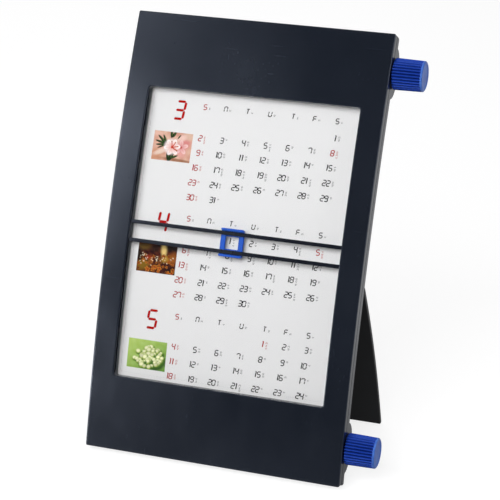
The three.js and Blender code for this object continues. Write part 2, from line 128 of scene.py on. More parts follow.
def piece(
    name, points, faces, material, body, stands_for=(), edge=None, sharp=38, closed=True,
):
    """A mesh that rides on its body. The edge number is per point, or one for all of them."""
    mesh = bpy.data.meshes.new(name)
    points = np.asarray(points).reshape(-1, 3)
    mesh.from_pydata(points.tolist(), [], [list(map(int, face)) for face in faces])
    if edge is not None:
        mark_points(mesh, "edge", np.full(len(points), edge) if np.isscalar(edge) else edge)
    if closed:
        face_outwards(mesh, 1e-7)
    mesh.shade_smooth()
    mesh.set_sharp_from_angle(angle=math.radians(sharp))
    made = placed(name, mesh)
    made.data.materials.append(material)
    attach(made, body)
    if stands_for:
        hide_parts(*stands_for)
    print(f"{name}: {len(mesh.vertices)} points, {len(mesh.polygons)} faces")
    return made


def weighted(made):
    """Bends the shading of each bevel towards its larger neighbours, so that flats stay flat."""
    modifier = made.modifiers.new("even_shading", "WEIGHTED_NORMAL")
    modifier.keep_sharp = True
    modifier.weight = 80


# %% [markdown]
# Moulded plastic is never one flat colour. Under a lamp it shows a slight mottle, a fine
# spark-eroded grain, a few hairline scratches and paler edges where hands have rubbed it.
# Those effects are the same on every plastic here, so they are one node group with its own
# inputs, used in each material with different values. On the knobs the edge number paints
# highlight with the paler colour, not wear.

# %% A node group for moulded plastic
def socket(group, name, way, kind, value=None):
    """A named input or output of a group."""
    made = group.interface.new_socket(name=name, in_out=way, socket_type=kind)
    if value is not None:
        made.default_value = value
    return made


def fill(tree, made, inputs):
    """Sets a node's inputs by name or number: an output is linked, anything else is a constant."""
    for key, value in inputs.items():
        if hasattr(value, "links"):
            tree.links.new(value, made.inputs[key])
        else:
            made.inputs[key].default_value = value


def node(tree, kind, inputs=None, **settings):
    """A new node with its settings and inputs."""
    made = tree.nodes.new(kind)
    for key, value in settings.items():
        setattr(made, key, value)
    fill(tree, made, inputs or {})
    return made


def maths(tree, operation, a, b, clamp=False):
    return node(tree, "ShaderNodeMath", {0: a, 1: b}, operation=operation, use_clamp=clamp).outputs[0]


def times(tree, a, b, clamp=False):
    return maths(tree, "MULTIPLY", a, b, clamp)


def plus(tree, a, b, clamp=False):
    return maths(tree, "ADD", a, b, clamp)


def minus(tree, a, b):
    return maths(tree, "SUBTRACT", a, b)


def noise(tree, vector, scale, detail=3.0, roughness=0.5):
    inputs = {"Scale": scale, "Detail": detail, "Roughness": roughness, "Vector": vector}
    return node(tree, "ShaderNodeTexNoise", inputs).outputs["Fac"]


def stretched(tree, vector, scale, turn):
    """The place turned and scaled: a pattern on it is long where the scale is small."""
    inputs = {"Scale": scale, "Rotation": turn, "Vector": vector}
    return node(tree, "ShaderNodeMapping", inputs).outputs["Vector"]


def mix_colour(tree, factor, a, b, blend="MIX"):
    inputs = {0: factor, 6: a, 7: b}
    return node(tree, "ShaderNodeMix", inputs, data_type="RGBA", blend_type=blend).outputs[2]


def attribute(tree, name, kind="Fac"):
    return node(tree, "ShaderNodeAttribute", attribute_name=name).outputs[kind]


def ramp(tree, value, low, high):
    """0 below low, 1 above high and straight between."""
    inputs = {"From Min": low, "From Max": high, "Value": value}
    return node(tree, "ShaderNodeMapRange", inputs, clamp=True).outputs["Result"]


def moulded_group():
    """Moulded plastic's colour, roughness and height: mottle, grain, scratches, and paler edges, wear on the
    case and painted highlight on the knobs.
    """
    tree = bpy.data.node_groups.new("moulded_plastic", "ShaderNodeTree")
    for name, kind, value in (
        ("Vector", "NodeSocketVector", None),
        ("Colour", "NodeSocketColor", (0.1, 0.1, 0.1, 1)),
        ("Wear and Highlight Colour", "NodeSocketColor", (0.3, 0.3, 0.3, 1)),
        ("Edge", "NodeSocketFloat", 0.0),
        ("Mottle", "NodeSocketFloat", 0.15),
        ("Scratches", "NodeSocketFloat", 0.5),
        ("Roughness", "NodeSocketFloat", 0.45),
        ("Grain", "NodeSocketFloat", 0.5),
    ):
        socket(tree, name, "INPUT", kind, value)
    for name, kind in (("Colour", "Color"), ("Roughness", "Float"), ("Height", "Float")):
        socket(tree, name, "OUTPUT", "NodeSocket" + kind)
    given = node(tree, "NodeGroupInput").outputs
    result = node(tree, "NodeGroupOutput").inputs
    place = given["Vector"]
    cloud = noise(tree, place, 38, 4)
    smudge = noise(tree, stretched(tree, place, (1, 1, 0.45), (0, 0.5, 0)), 22, 5, 0.6)
    grain = noise(tree, place, 2600, 2)
    lines = []
    for turn, scale in (((0.2, 0.5, 0.1), (30, 1500, 1500)), ((0.9, -0.7, 0.4), (1300, 1300, 26))):
        thin = noise(tree, stretched(tree, place, scale, turn), 1.0, 1, 0.4)
        patch = noise(tree, place, 45 + 20 * turn[0], 2)
        line = times(tree, ramp(tree, thin, 0.70, 0.76), ramp(tree, patch, 0.52, 0.62))
        lines.append(line)
    scratch = times(tree, maths(tree, "MAXIMUM", *lines), given["Scratches"])
    blotches = noise(tree, place, 240, 4, 0.65)
    patchy = plus(tree, times(tree, ramp(tree, blotches, 0.38, 0.70), 0.55), 0.45)
    # Paler where the edge number is high, in patches: rubbed wear on the case, painted highlight on the
    # knobs.
    wear_and_highlight = times(tree, given["Edge"], patchy)
    shade = times(tree, minus(tree, cloud, 0.5), given["Mottle"])
    dark = mix_colour(tree, 1.0, given["Colour"], (0.5, 0.5, 0.5, 1), "MULTIPLY")
    light = mix_colour(tree, 1.0, given["Colour"], (1.6, 1.6, 1.6, 1), "MULTIPLY")
    spread = plus(tree, times(tree, shade, 2.0), 0.42, True)
    mottled = mix_colour(tree, spread, dark, light)
    marks = plus(tree, times(tree, scratch, 0.45), times(tree, wear_and_highlight, 0.55), True)
    tree.links.new(mix_colour(tree, marks, mottled, given["Wear and Highlight Colour"]), result["Colour"])
    dull = times(tree, minus(tree, smudge, 0.5), 0.30)
    change = plus(tree, dull, times(tree, scratch, 0.12))
    tree.links.new(plus(tree, given["Roughness"], change, True), result["Roughness"])
    bumps = minus(tree, times(tree, grain, given["Grain"]), times(tree, scratch, 0.35))
    tree.links.new(bumps, result["Height"])
    return tree


MOULDED = moulded_group()
print("group sockets:", [item.name for item in MOULDED.interface.items_tree])

# %% [markdown]
# A material is then short: Object coordinates and the edge number go into the group, and its
# colour, roughness and height go into one Principled BSDF. The plain values that are the same
# all over, such as specular level, are set on the shader's own sockets.

# %% Plastic materials
def blank_material(name):
    """A material with one Principled BSDF: also its tree, the shader and Object coordinates."""
    material = bpy.data.materials.new(name)
    material.use_nodes = True
    tree = material.node_tree
    tree.nodes.clear()
    shader = node(tree, "ShaderNodeBsdfPrincipled")
    node(tree, "ShaderNodeOutputMaterial", {"Surface": shader.outputs[0]})
    return material, tree, shader, node(tree, "ShaderNodeTexCoord").outputs["Object"]


def bumped(tree, shader, height, strength, distance):
    inputs = {"Strength": strength, "Distance": distance, "Height": height}
    fill(tree, shader, {"Normal": node(tree, "ShaderNodeBump", inputs).outputs["Normal"]})


def plastic(
    name, colour, wear_and_highlight, rough=0.45, mottle=0.15, scratches=0.5, grain=0.5, level=0.5, bump=0.25,
    tint=(1, 1, 1), painted_shade=None,
):
    """Moulded plastic. Where a second number per point is 1, an optional dark colour takes over as painted
    shade.
    """
    material, tree, shader, place = blank_material(name)
    group = node(tree, "ShaderNodeGroup", {
        "Vector": place, "Edge": attribute(tree, "edge"), "Colour": (*colour, 1), "Wear and Highlight Colour": (*wear_and_highlight, 1),
        "Mottle": mottle, "Scratches": scratches, "Roughness": rough, "Grain": grain,
    }, node_tree=MOULDED).outputs
    shown = group["Colour"]
    # Painted shade: the dark colour is mixed in by a number per point, in recesses.
    if painted_shade:
        shown = mix_colour(tree, attribute(tree, "painted_shade"), shown, (*painted_shade, 1))
    fill(tree, shader, {
        "Base Color": shown, "Roughness": group["Roughness"], "Specular IOR Level": level,
        "Specular Tint": (*tint, 1),
    })
    bumped(tree, shader, group["Height"], bump, 0.00004)
    return material


COOL = (0.74, 0.82, 1)
CASE = plastic("case_navy", (0.0068, 0.0094, 0.0158), (0.030, 0.038, 0.055),
               0.225, 0.12, 0.35, 0.9, 0.50, 0.16, COOL)
LEG = plastic("leg_black", (0.0066, 0.0076, 0.0100), (0.02, 0.024, 0.03),
              0.48, 0.2, 0.3, 0.8, 0.25, 0.2)
BARS = plastic("bars_black", (0.0028, 0.0038, 0.0080), (0.03, 0.035, 0.05),
               0.25, 0.15, 0.35, 0.4, 0.45, 0.12, COOL)
# Knob: the paler colour is painted highlight on crests, chamfer ring and end, besides scratches; the last
# colour is painted shade in the rib valleys.
KNOB = plastic("knob_blue", (0.0070, 0.042, 0.40), (0.17, 0.42, 1.0),
               0.36, 0.12, 0.25, 0.4, 0.32, 0.12, (0.5, 0.66, 1), (0.0025, 0.010, 0.070))
CURSOR = plastic("cursor_blue", (0.005, 0.062, 0.46), (0.03, 0.22, 0.80),
                 0.34, 0.12, 0.25, 0.3, 0.35, 0.1, (0.45, 0.65, 1))
PLUG = plastic("plug_blue", (0.0055, 0.030, 0.30), (0.045, 0.19, 0.72), 0.40)
TUBE = plastic("tube_grey", (0.30, 0.31, 0.32), (0.4, 0.4, 0.4), 0.55, 0.12, 0.2, 0.6)
print("plastics:", [m.name for m in (CASE, LEG, BARS, KNOB, CURSOR, PLUG, TUBE)])

# %% [markdown]
# Paper is the opposite of plastic: no shine, and a soft cloud of fibres instead of a grain.
# A wide noise and a fine stretched one give the fibres, and the bump stays under a hundredth
# of a millimetre so that it only softens the light.

# %% Paper, ink and the other plain finishes
def paper_like(name, colour, rough=0.85, cloud=0.05, fibre=900, level=0.25, bump=0.15, painted=None):
    """A matt finish. Its colour can come from the point colours named by painted."""
    material, tree, shader, place = blank_material(name)
    wide = noise(tree, place, 60, 3)
    fine = noise(tree, stretched(tree, place, (1.0, 1.0, 0.5), (0.3, 0.2, 0.9)), fibre, 3, 0.6)
    both = plus(tree, times(tree, wide, 0.5), times(tree, fine, 0.5))
    base = attribute(tree, painted, "Color") if painted else (*colour, 1)
    tone = mix_colour(tree, both, (*[1 - cloud] * 3, 1), (*[1 + cloud] * 3, 1))
    fill(tree, shader, {
        "Base Color": mix_colour(tree, 1.0, base, tone, "MULTIPLY"),
        "Roughness": plus(tree, times(tree, fine, 0.12), rough - 0.06, True),
        "Specular IOR Level": level,
    })
    bumped(tree, shader, fine, bump, 0.00001)
    return material


PAPER = paper_like("paper_white", (0.82, 0.82, 0.824), cloud=0.010)
INK = paper_like("ink_black", (0.003, 0.003, 0.004), 0.7, 0.25, 1600, 0.1)
INK_DATE_RED = paper_like("ink_date_red", (0.38, 0.005, 0.004), 0.7, 0.2, 1600, 0.05)
INK_MONTH_RED = paper_like("ink_month_red", (0.42, 0.0003, 0.0005), 0.7, 0.15, 1600, 0.05)
INK_SIGN = paper_like("ink_sign", (0.16, 0.16, 0.17), 0.7, 0.2, 1600, 0.05)
INK_SIGN_RED = paper_like("ink_sign_red", (0.50, 0.10, 0.09), 0.7, 0.2, 1600, 0.05)
PICTURE = paper_like("picture_print", (1, 1, 1), 0.6, 0.04, 1500, 0.08, 0.05, "picture")
PLATEN = paper_like("platen_grey", (0.32, 0.33, 0.34), 0.55, 0.06, 400)
FELT = paper_like("washer_felt", (0.02, 0.02, 0.022), 0.95, 0.4, 1400, 0.1, 0.8)


def zinc_steel():
    """Plated steel: a fine brushed noise in its roughness, and faint spots."""
    material, tree, shader, place = blank_material("zinc_steel")
    brush = noise(tree, stretched(tree, place, (900, 60, 60), (0, 0, 0)), 1.0, 2)
    spots = noise(tree, place, 700, 3)
    fill(tree, shader, {
        "Base Color": mix_colour(tree, spots, (0.42, 0.44, 0.46, 1), (0.60, 0.61, 0.63, 1)),
        "Roughness": plus(tree, times(tree, brush, 0.2), 0.22, True),
        "Metallic": 1.0,
    })
    bumped(tree, shader, brush, 0.1, 0.00002)
    return material


STEEL = zinc_steel()

# %% [markdown]
# The window is thin clear plastic, so bending of light doesn't matter and a see-through
# surface is enough: nearly clear face-on, and more mirror-like at a flat angle, which the
# Fresnel node gives. The bevel round it would mirror too strongly, so the edge number fades it.

# %% Clear plastic
GLASS_INDEX = 1.49


def clear_plastic():
    """Clear where seen face-on, more mirror-like at a flat angle, and fainter on the bevel."""
    material, tree, shader, place = blank_material("lens_clear")
    gloss = node(tree, "ShaderNodeFresnel", {"IOR": GLASS_INDEX}).outputs[0]
    away = minus(tree, 0.45, times(tree, attribute(tree, "edge"), 0.35))
    smears, haze = noise(tree, place, 90, 4), noise(tree, place, 40, 2)
    fill(tree, shader, {
        "Alpha": times(tree, gloss, away, True),
        "Base Color": mix_colour(tree, haze, (0.10, 0.10, 0.105, 1), (0.16, 0.16, 0.17, 1)),
        "Roughness": plus(tree, times(tree, smears, 0.08), 0.04),
        "IOR": GLASS_INDEX,
    })
    return material


LENS = clear_plastic()
print("materials:", len(bpy.data.materials))

# %% [markdown]
# The front shell is a flat ring on a curved surface. Think of one rounded rectangle that grows,
# shrinks and sinks: it starts at the seam, rounds over to the face, crosses the face to the
# window, rounds down the window's wall with its groove for the marker, and comes back along
# the inside. Each stage is one ring of the grid, so the whole shell is one closed surface.

# %% Rounded rectangles
CORNER_POINTS, WIDE_POINTS, TALL_POINTS = 7, 22, 52


def rounded_rectangle(
    half_u, half_s, radius, middle, along_u=WIDE_POINTS, along_s=TALL_POINTS, corner=CORNER_POINTS,
):
    """u, s and a mark for the upright sides: straight runs and quarter turns, anticlockwise."""
    radius = max(radius, 1e-3)
    quarter = np.linspace(0, math.pi / 2, corner, endpoint=False)
    a, b = half_u - radius, half_s - radius
    u, s, side = [], [], []
    for turn, cu, cs, du, ds, count in (
        (0, a, -b, 0, 2 * b, along_s), (1, a, b, -2 * a, 0, along_u),
        (2, -a, b, 0, -2 * b, along_s), (3, -a, -b, 2 * a, 0, along_u),
    ):
        angle = turn * math.pi / 2 - math.pi / 2 + quarter
        u.append(cu + radius * np.cos(angle))
        s.append(cs + radius * np.sin(angle))
        side.append((np.arange(corner) == 0) * float(turn % 2))
        start = angle[0] + math.pi / 2
        part = np.linspace(0, 1, count, endpoint=False)
        u.append(cu + radius * math.cos(start) + du * part)
        s.append(cs + radius * math.sin(start) + ds * part)
        side.append(np.full(count, 1.0 - turn % 2))
    return np.concatenate(u), np.concatenate(s) + middle, np.concatenate(side)


WINDOW_LOW, WINDOW_HIGH = 35.35, 172.55
WINDOW_HALF = 51.4
WINDOW_MIDDLE = (WINDOW_LOW + WINDOW_HIGH) / 2
WINDOW_TALL = (WINDOW_HIGH - WINDOW_LOW) / 2
OUTER_CORNER, WINDOW_CORNER = 0.75, 1.5


def outer_ring(inset):
    """The case's outline, drawn in by inset, its corners a little tighter."""
    corner = OUTER_CORNER - min(inset, 0.5)
    return rounded_rectangle(HALF - inset, HEIGHT / 2 - inset, corner, HEIGHT / 2)


def window_loop(grow, radius):
    """The window's outline pushed out by grow, with corners of this radius."""
    return rounded_rectangle(WINDOW_HALF + grow, WINDOW_TALL + grow, radius, WINDOW_MIDDLE)


def window_ring(grow, groove=0.0):
    """The window's loop, its upright sides moved out by groove except near the corners."""
    u, s, side = window_loop(grow, WINDOW_CORNER + grow)
    inside = (np.abs(s - WINDOW_MIDDLE) < WINDOW_TALL - 1.0) * side
    return u + np.sign(u) * groove * inside, s, side


print("ring points:", len(outer_ring(0)[0]))

# %% [markdown]
# The front shell is those rings in order. Its outer edge is a quarter turn, its lip round the
# window another, and both carry an edge number, so that they wear paler than the flat face.

# %% The front shell
ROUND, LIP, SEAM = 0.55, 0.45, 4.1
BEZEL_INSIDE, BEZEL_WALL, FRAME_WALL = 2.0, 2.0, 3.0
GROOVE = 1.45
quarter_turn = np.linspace(0, math.pi / 2, 6)


def bezel_rings():
    """A list of (u, s, off, edge): a profile of insets and depths carried round the case."""
    rings = []

    def add(ring, off, edge=0.0):
        rings.append((ring[0], ring[1], np.full(len(ring[0]), off), np.full(len(ring[0]), edge)))

    add(outer_ring(0.25), SEAM, 0.3)
    add(outer_ring(0.0), SEAM - 0.25, 0.5)
    for off in (3.2, 2.4, 1.5):
        add(outer_ring(0.0), off, 0.05)
    for turn in quarter_turn:
        inset = ROUND * (1 - math.cos(turn))
        add(outer_ring(inset), ROUND * (1 - math.sin(turn)), 0.15 + 0.75 * math.sin(2 * turn))
    outside, inside = outer_ring(ROUND), window_ring(LIP)
    for part in np.linspace(0.04, 0.96, 17):
        u = outside[0] + (inside[0] - outside[0]) * part
        s = outside[1] + (inside[1] - outside[1]) * part
        add((u, s), 0.0)
    for turn in quarter_turn:
        ring = window_ring(LIP * (1 - math.sin(turn)))
        add(ring, LIP * (1 - math.cos(turn)), 0.1 + 0.5 * math.sin(2 * turn))
    for groove, off in ((0, 0.58), (GROOVE, 0.60), (GROOVE, 2.5), (0, 2.52), (0, 3.3), (0, SEAM)):
        add(window_ring(0, groove), off)
    add(window_ring(FRAME_WALL), SEAM)
    add(window_ring(FRAME_WALL), BEZEL_INSIDE)
    add(outer_ring(BEZEL_WALL), BEZEL_INSIDE)
    add(outer_ring(BEZEL_WALL), SEAM)
    return [np.array(part) for part in zip(*rings)]


u, s, off, edge = bezel_rings()
shell = piece(
    "front_shell", panel(u, s, off), grid_faces(*u.shape, True, True), CASE, "frame",
    ["front_bezel"], edge, 32,
)
weighted(shell)

# %% [markdown]
# The back shell is an outline in the side view carried across the case. The outline runs from
# the seam at the foot, over the strip that stands on the desk, up the back with a half
# ellipse over each roll, and over the top to the seam again. Evening it out over a short
# length rounds all its corners at once. At both sides the outline shrinks a little as it
# turns into the side wall, which rounds that edge too. Solidify gives the shell its wall.

# %% The outline of the back shell
BACK, COVER_FRONT = 8.6, 4.4
ROLLS = {"lower": 16.7, "upper": 191.2}
ROLL_SETBACK = 8.2
BULGE_HALF, BULGE_DEPTH = 12.0, 7.7
FOOT_DROP, TOP_BEVEL = 1.1, 0.9


def evened(points, step, width):
    """The same line with points a step apart, each the mean of its neighbours within the width."""
    length = np.r_[0, np.cumsum(np.hypot(*np.diff(points, axis=0).T))]
    count = int(length[-1] / step)
    where = np.linspace(0, length[-1], count)
    line = np.stack([np.interp(where, length, points[:, k]) for k in (0, 1)], axis=1)
    reach = max(1, int(width / step / 2))
    padded = np.concatenate([
        2 * line[0] - line[1:reach + 1][::-1], line, 2 * line[-1] - line[-reach - 1:-1][::-1],
    ])
    window = np.ones(2 * reach + 1) / (2 * reach + 1)
    return np.stack([np.convolve(padded[:, k], window, "valid") for k in (0, 1)], axis=1)


def cover_outline():
    """(y, z) in millimetres, from the seam at the foot to the seam at the top."""
    under_front = np.array(side_point(0, COVER_FRONT))
    under_back = np.array(side_point(-FOOT_DROP, BACK))
    reach = under_front[1] / (under_front[1] - under_back[1])
    pieces = [np.array([under_front, under_front + (under_back - under_front) * reach])]
    turn = np.linspace(math.pi, 0, 60)
    first = -FOOT_DROP - under_back[1] / math.cos(LEAN)
    s_list, off_list = [np.linspace(first, ROLLS["lower"] - BULGE_HALF, 12)], [np.full(12, BACK)]
    for name, upper_end in (("lower", ROLLS["upper"] - BULGE_HALF), ("upper", HEIGHT - TOP_BEVEL)):
        s_list.append(ROLLS[name] + BULGE_HALF * np.cos(turn))
        off_list.append(BACK + BULGE_DEPTH * np.sin(turn))
        s_list.append(np.linspace(ROLLS[name] + BULGE_HALF, upper_end, 60)[1:-1])
        off_list.append(np.full(58, BACK))
    pieces.append(np.stack(side_point(np.concatenate(s_list), np.concatenate(off_list)), axis=1))
    pieces.append(np.stack(side_point([HEIGHT, HEIGHT], [BACK - TOP_BEVEL, COVER_FRONT]), axis=1))
    return evened(np.concatenate(pieces), 0.4, 0.8)


outline = cover_outline()
print("outline points:", len(outline))

# %% [markdown]
# The skin of the back shell is the outline repeated across the case, a little smaller in the
# last steps at each side. The two side walls are one face each, and Solidify works inwards.

# %% The back shell
def outward(line):
    """Unit normals of an open line, to the right of its way, which is outside for this outline."""
    along = np.gradient(line, axis=0)
    along /= np.linalg.norm(along, axis=1, keepdims=True)
    return np.stack([along[:, 1], -along[:, 0]], axis=1)


SIDE_ROUND = 0.6
COVER_WALL = 0.0011
bend = np.linspace(0, math.pi / 2, 5)
inset = np.r_[SIDE_ROUND * (1 - np.sin(bend)), np.zeros(5)]
across = np.r_[-HALF + SIDE_ROUND * (1 - np.cos(bend)), np.linspace(-HALF + 6, -8, 5)]
inset, across = np.r_[inset, inset[::-1]], np.r_[across, -across[::-1]]
edge_mark = np.r_[0.2, 0.7, 0.8, 0.5, 0.15, np.zeros(5)]
edge_mark = np.r_[edge_mark, edge_mark[::-1]]


def cover_skin():
    """x = the step across, (y, z) = the outline less its outward normal times the inset there."""
    line = outline[None] - outward(outline)[None] * inset[:, None, None]
    u = np.broadcast_to(across[:, None, None], line.shape[:2] + (1,))
    points = np.concatenate([u, line], axis=2) / 1000
    rows, columns = points.shape[:2]
    faces = grid_faces(rows, columns).tolist()
    front_s = np.linspace(HEIGHT - SIDE_ROUND, SIDE_ROUND, 60)[1:-1]
    extra = [panel(side, front_s, COVER_FRONT) for side in (-HALF, HALF)]
    count = len(front_s)
    for first, start in ((0, rows * columns), ((rows - 1) * columns, rows * columns + count)):
        faces.append(list(range(first, first + columns)) + list(range(start, start + count)))
    marks = np.concatenate([np.repeat(edge_mark, columns), np.full(2 * count, 0.3)])
    return np.concatenate([points.reshape(-1, 3), *extra]), faces, marks


points, faces, marks = cover_skin()
cover = piece("back_shell", points, faces, CASE, "frame", ["rear_cover"], marks, 40)
wall = cover.modifiers.new("wall", "SOLIDIFY")
wall.thickness = COVER_WALL
wall.offset = -1.0
wall.use_rim = True

# %% [markdown]
# Holes are cut with a Boolean, which is simple and exact: one cutter holds a cylinder for each
# screw's pocket and each knob's stem. It is applied and thrown away, so only the holes stay.
# The hinge's ears and the screws' slots are cut in the same way further down.

# %% Holes in the back shell
SCREW_INSET = 4.4
SCREWS = [(side * (HALF - SCREW_INSET), s) for s in (33.0, 104.0, 175.0) for side in (-1, 1)]
POCKET_RADIUS, STEM_HOLE, EAR_BORE = 2.4, 2.55, 1.35
SCREW_SUNK, SLOT_LONG, SLOT_THIN = 0.85, 0.0013, 0.00022


def cylinder_points(centre, axis, radii, heights, around=32):
    """Rings of the given radii at the given heights along an axis through centre, in metres."""
    axis = np.array(axis, float) / np.linalg.norm(axis)
    helper = np.array([1.0, 0, 0]) if abs(axis[0]) < 0.9 else np.array([0, 1.0, 0])
    first = np.cross(axis, helper)
    first /= np.linalg.norm(first)
    second = np.cross(axis, first)
    angle = np.linspace(0, 2 * math.pi, around, endpoint=False)
    circle = np.cos(angle)[:, None] * first + np.sin(angle)[:, None] * second
    radii, heights = np.array(radii)[:, None, None] / 1000, np.array(heights)[:, None, None] / 1000
    return np.array(centre) + circle[None] * radii + axis * heights


def capped(rows, columns, start=0):
    """Faces of a tube of rings with its two ends closed."""
    faces = (grid_faces(rows, columns, False, True) + start).tolist()
    faces.append([start + i for i in range(columns)][::-1])
    faces.append([start + (rows - 1) * columns + i for i in range(columns)])
    return faces


def inward_axis(s):
    """The direction from the back of the case towards its front at s, square to the face."""
    turn = LEAN + s / ARCH_RADIUS
    return np.array([0, -math.cos(turn), math.sin(turn)])


def roll_axis(name):
    """The middle of a roll's axis, in metres."""
    return panel(0, ROLLS[name], ROLL_SETBACK)


def gathered(parts):
    """Several (points, faces) as one list of points and one of faces."""
    points, faces, start = [], [], 0
    for some_points, some_faces in parts:
        flat = np.asarray(some_points).reshape(-1, 3)
        points.append(flat)
        faces += [[i + start for i in face] for face in some_faces]
        start += len(flat)
    return np.concatenate(points), faces


def cut(made, parts):
    """Takes the parts out of a piece for good."""
    points, faces = gathered(parts)
    mesh = bpy.data.meshes.new("cutter")
    mesh.from_pydata(points.tolist(), [], faces)
    face_outwards(mesh)
    cutter = placed("cutter", mesh)
    boolean = made.modifiers.new("holes", "BOOLEAN")
    boolean.operation = "DIFFERENCE"
    boolean.solver = "EXACT"
    boolean.object = cutter
    bpy.context.view_layer.update()
    evaluated = made.evaluated_get(bpy.context.evaluated_depsgraph_get())
    result = bpy.data.meshes.new_from_object(evaluated)
    made.modifiers.clear()
    made.data = result
    bpy.data.objects.remove(cutter)
    made.data.shade_smooth()
    made.data.set_sharp_from_angle(angle=math.radians(35))
    print(f"{made.name} cut: {len(result.polygons)} faces")


cutters = []
for x, s in SCREWS:
    middle = panel(x, s, BACK)
    rings = cylinder_points(middle, inward_axis(s), [POCKET_RADIUS] * 2, [-2.0, 1.8])
    cutters.append((rings, capped(2, 32)))
for name in ROLLS:
    wall_middle = roll_axis(name) + [HALF / 1000, 0, 0]
    rings = cylinder_points(wall_middle, [1, 0, 0], [STEM_HOLE] * 2, [-4, 2])
    cutters.append((rings, capped(2, 32)))
cut(cover, cutters)
weighted(cover)

# %% [markdown]
# The hinge's ears are small blocks that stand on the back and are round over the pin. Their
# outline is a half circle on two straight sides, carried across the width of the ear, with
# its rim eased like every moulded edge.

# %% Ears, pin and screws
PIN = np.array(joints["leg_fold"]["pos_m"]) * 1000
EARS = (-42.5, 0.0, 42.5)


def side_coordinates(y, z):
    """s and off of a point of the side view: the reverse of side_point."""
    dy, dz = ARCH_CENTRE[0] - y, z - ARCH_CENTRE[1]
    return (math.atan2(dz, dy) - LEAN) * ARCH_RADIUS, ARCH_RADIUS - math.hypot(dy, dz)


PIN_S, PIN_OFF = side_coordinates(PIN[1], PIN[2])


def ear(middle, radius=3.0, width=5.0, round_off=0.35):
    """A loop round the ear, shrunk a little near its two faces. The pin's hole is cut later."""
    angle = np.linspace(0, math.pi, 22)
    s = np.r_[PIN_S - radius * np.cos(angle), PIN_S + radius, PIN_S - radius]
    off = np.r_[PIN_OFF + radius * np.sin(angle), BACK - 0.5, BACK - 0.5]
    turn = np.linspace(0, math.pi / 2, 4)
    short, thin = round_off * (1 - np.cos(turn)), round_off * (1 - np.sin(turn))
    u = np.r_[-width / 2 + short, width / 2 - short[::-1]]
    shrink = np.r_[thin, thin[::-1]] / radius
    ring_s = PIN_S + (s - PIN_S)[None] * (1 - shrink[:, None])
    ring_off = PIN_OFF + (off - PIN_OFF)[None] * (1 - shrink[:, None])
    points = panel(middle + u[:, None], ring_s, ring_off)
    return points, capped(len(u), len(s))


points, faces = gathered([ear(middle) for middle in EARS])
hinge_ears = piece("hinge_ears", points, faces, CASE, "frame", [], 0.2, 35)
bore = cylinder_points(PIN / 1000, [1, 0, 0], [EAR_BORE] * 2, [-60, 60])
cut(hinge_ears, [(bore, capped(2, 32))])
weighted(hinge_ears)

pin_rings = cylinder_points(PIN / 1000, [1, 0, 0], [0.9, 1.2, 1.2, 0.9], [-45, -44.7, 44.7, 45], 28)
piece("leg_pin", pin_rings, capped(4, 28), STEEL, "frame", ["hinge_pin"], None, 50)


def screw(x, s, index):
    """Rings about the screw's axis: a shank hidden in the boss, then the head, whose dome has
    radius 2.1 cos t at height 0.25 + 0.5 sin t. Two thin boxes are cut from it as a cross."""
    centre = panel(x, s, BACK - SCREW_SUNK)
    turn = np.linspace(0, 1, 6)
    radii = np.r_[1.05, 1.05, 1.95, 2.08, 2.1 * np.cos(turn * 1.15)]
    heights = np.r_[4.0, 0.0, 0.0, -0.08, -0.25 - 0.5 * np.sin(turn * 1.15)]
    rings = cylinder_points(centre, inward_axis(s), radii, heights, 36)
    made = piece(f"screw_{index}", rings, capped(len(radii), 36), STEEL, "frame",
                 [f"cover_screw_{index}"], None, 40)
    slots = []
    up = np.array([0, math.sin(LEAN + s / ARCH_RADIUS), math.cos(LEAN + s / ARCH_RADIUS)])
    corner = np.array([[-1, -1], [1, -1], [1, 1], [-1, 1]])
    for a, b in ((SLOT_LONG, SLOT_THIN), (SLOT_THIN, SLOT_LONG)):
        plane = corner[:, :1] * a * np.array([1.0, 0, 0]) + corner[:, 1:] * b * up
        deep = inward_axis(s) * 0.001
        box = np.stack([centre + plane - deep * 2, centre + plane - deep * 0.3])
        slots.append((box, capped(2, 4)))
    for slot in slots:
        cut(made, [slot])


for number, (x, s) in enumerate(SCREWS, 1):
    screw(x, s, number)

# %% [markdown]
# The window pane is the same idea as the shell: rounded rectangles that sink. Its middle
# stands forward of its flange, and the step and the small bevel round the middle are what
# catches the light beside the case.

# %% The clear window
LENS_FRONT, FLANGE_FRONT, FLANGE_BACK = 3.7, 4.4, 5.4


# Each ring: how far it grows past the window, the radius of its corners, its depth, its edge number
PANE_FRONT = [
    (2.7, 1.5, FLANGE_BACK, 0), (2.7, 1.5, FLANGE_FRONT, 0), (-1.8, 1.2, FLANGE_FRONT, 0.5),
    (-1.8, 1.2, LENS_FRONT + 0.22, 0.9), (-1.86, 1.1, LENS_FRONT + 0.08, 1.0),
    (-2.0, 1.0, LENS_FRONT, 0.6), (-2.4, 1.0, LENS_FRONT, 0.0),
]
PANE_BACK = [(-2.4, 1.0, FLANGE_BACK, 0.0), (0.0, 1.0, FLANGE_BACK, 0.0)]


def lens_surface(rings):
    """Points of each ring, and how much of the bevel each point belongs to."""
    points, marks = [], []
    for grow, radius, off, mark in rings:
        u, s, _ = window_loop(grow, radius)
        points.append(panel(u, s, np.full(len(u), off)))
        marks.append(np.full(len(u), mark))
    return np.array(points), np.array(marks)


def across_ring(first):
    """Closes a ring: one face across for each step up its sides, and one at each end."""
    right = first + CORNER_POINTS + np.arange(TALL_POINTS + 1)
    left_start = 3 * CORNER_POINTS + TALL_POINTS + WIDE_POINTS
    left = (first + left_start + np.arange(TALL_POINTS + 1))[::-1]
    across = np.stack([right[:-1], right[1:], left[1:], left[:-1]], axis=1).tolist()
    top = (first + np.arange(CORNER_POINTS + TALL_POINTS, left_start + 1)).tolist()
    ring = np.arange(ring_size)
    low = np.concatenate([ring[left_start + TALL_POINTS:], ring[:CORNER_POINTS + 1]])
    return across + [top, (first + low).tolist()]


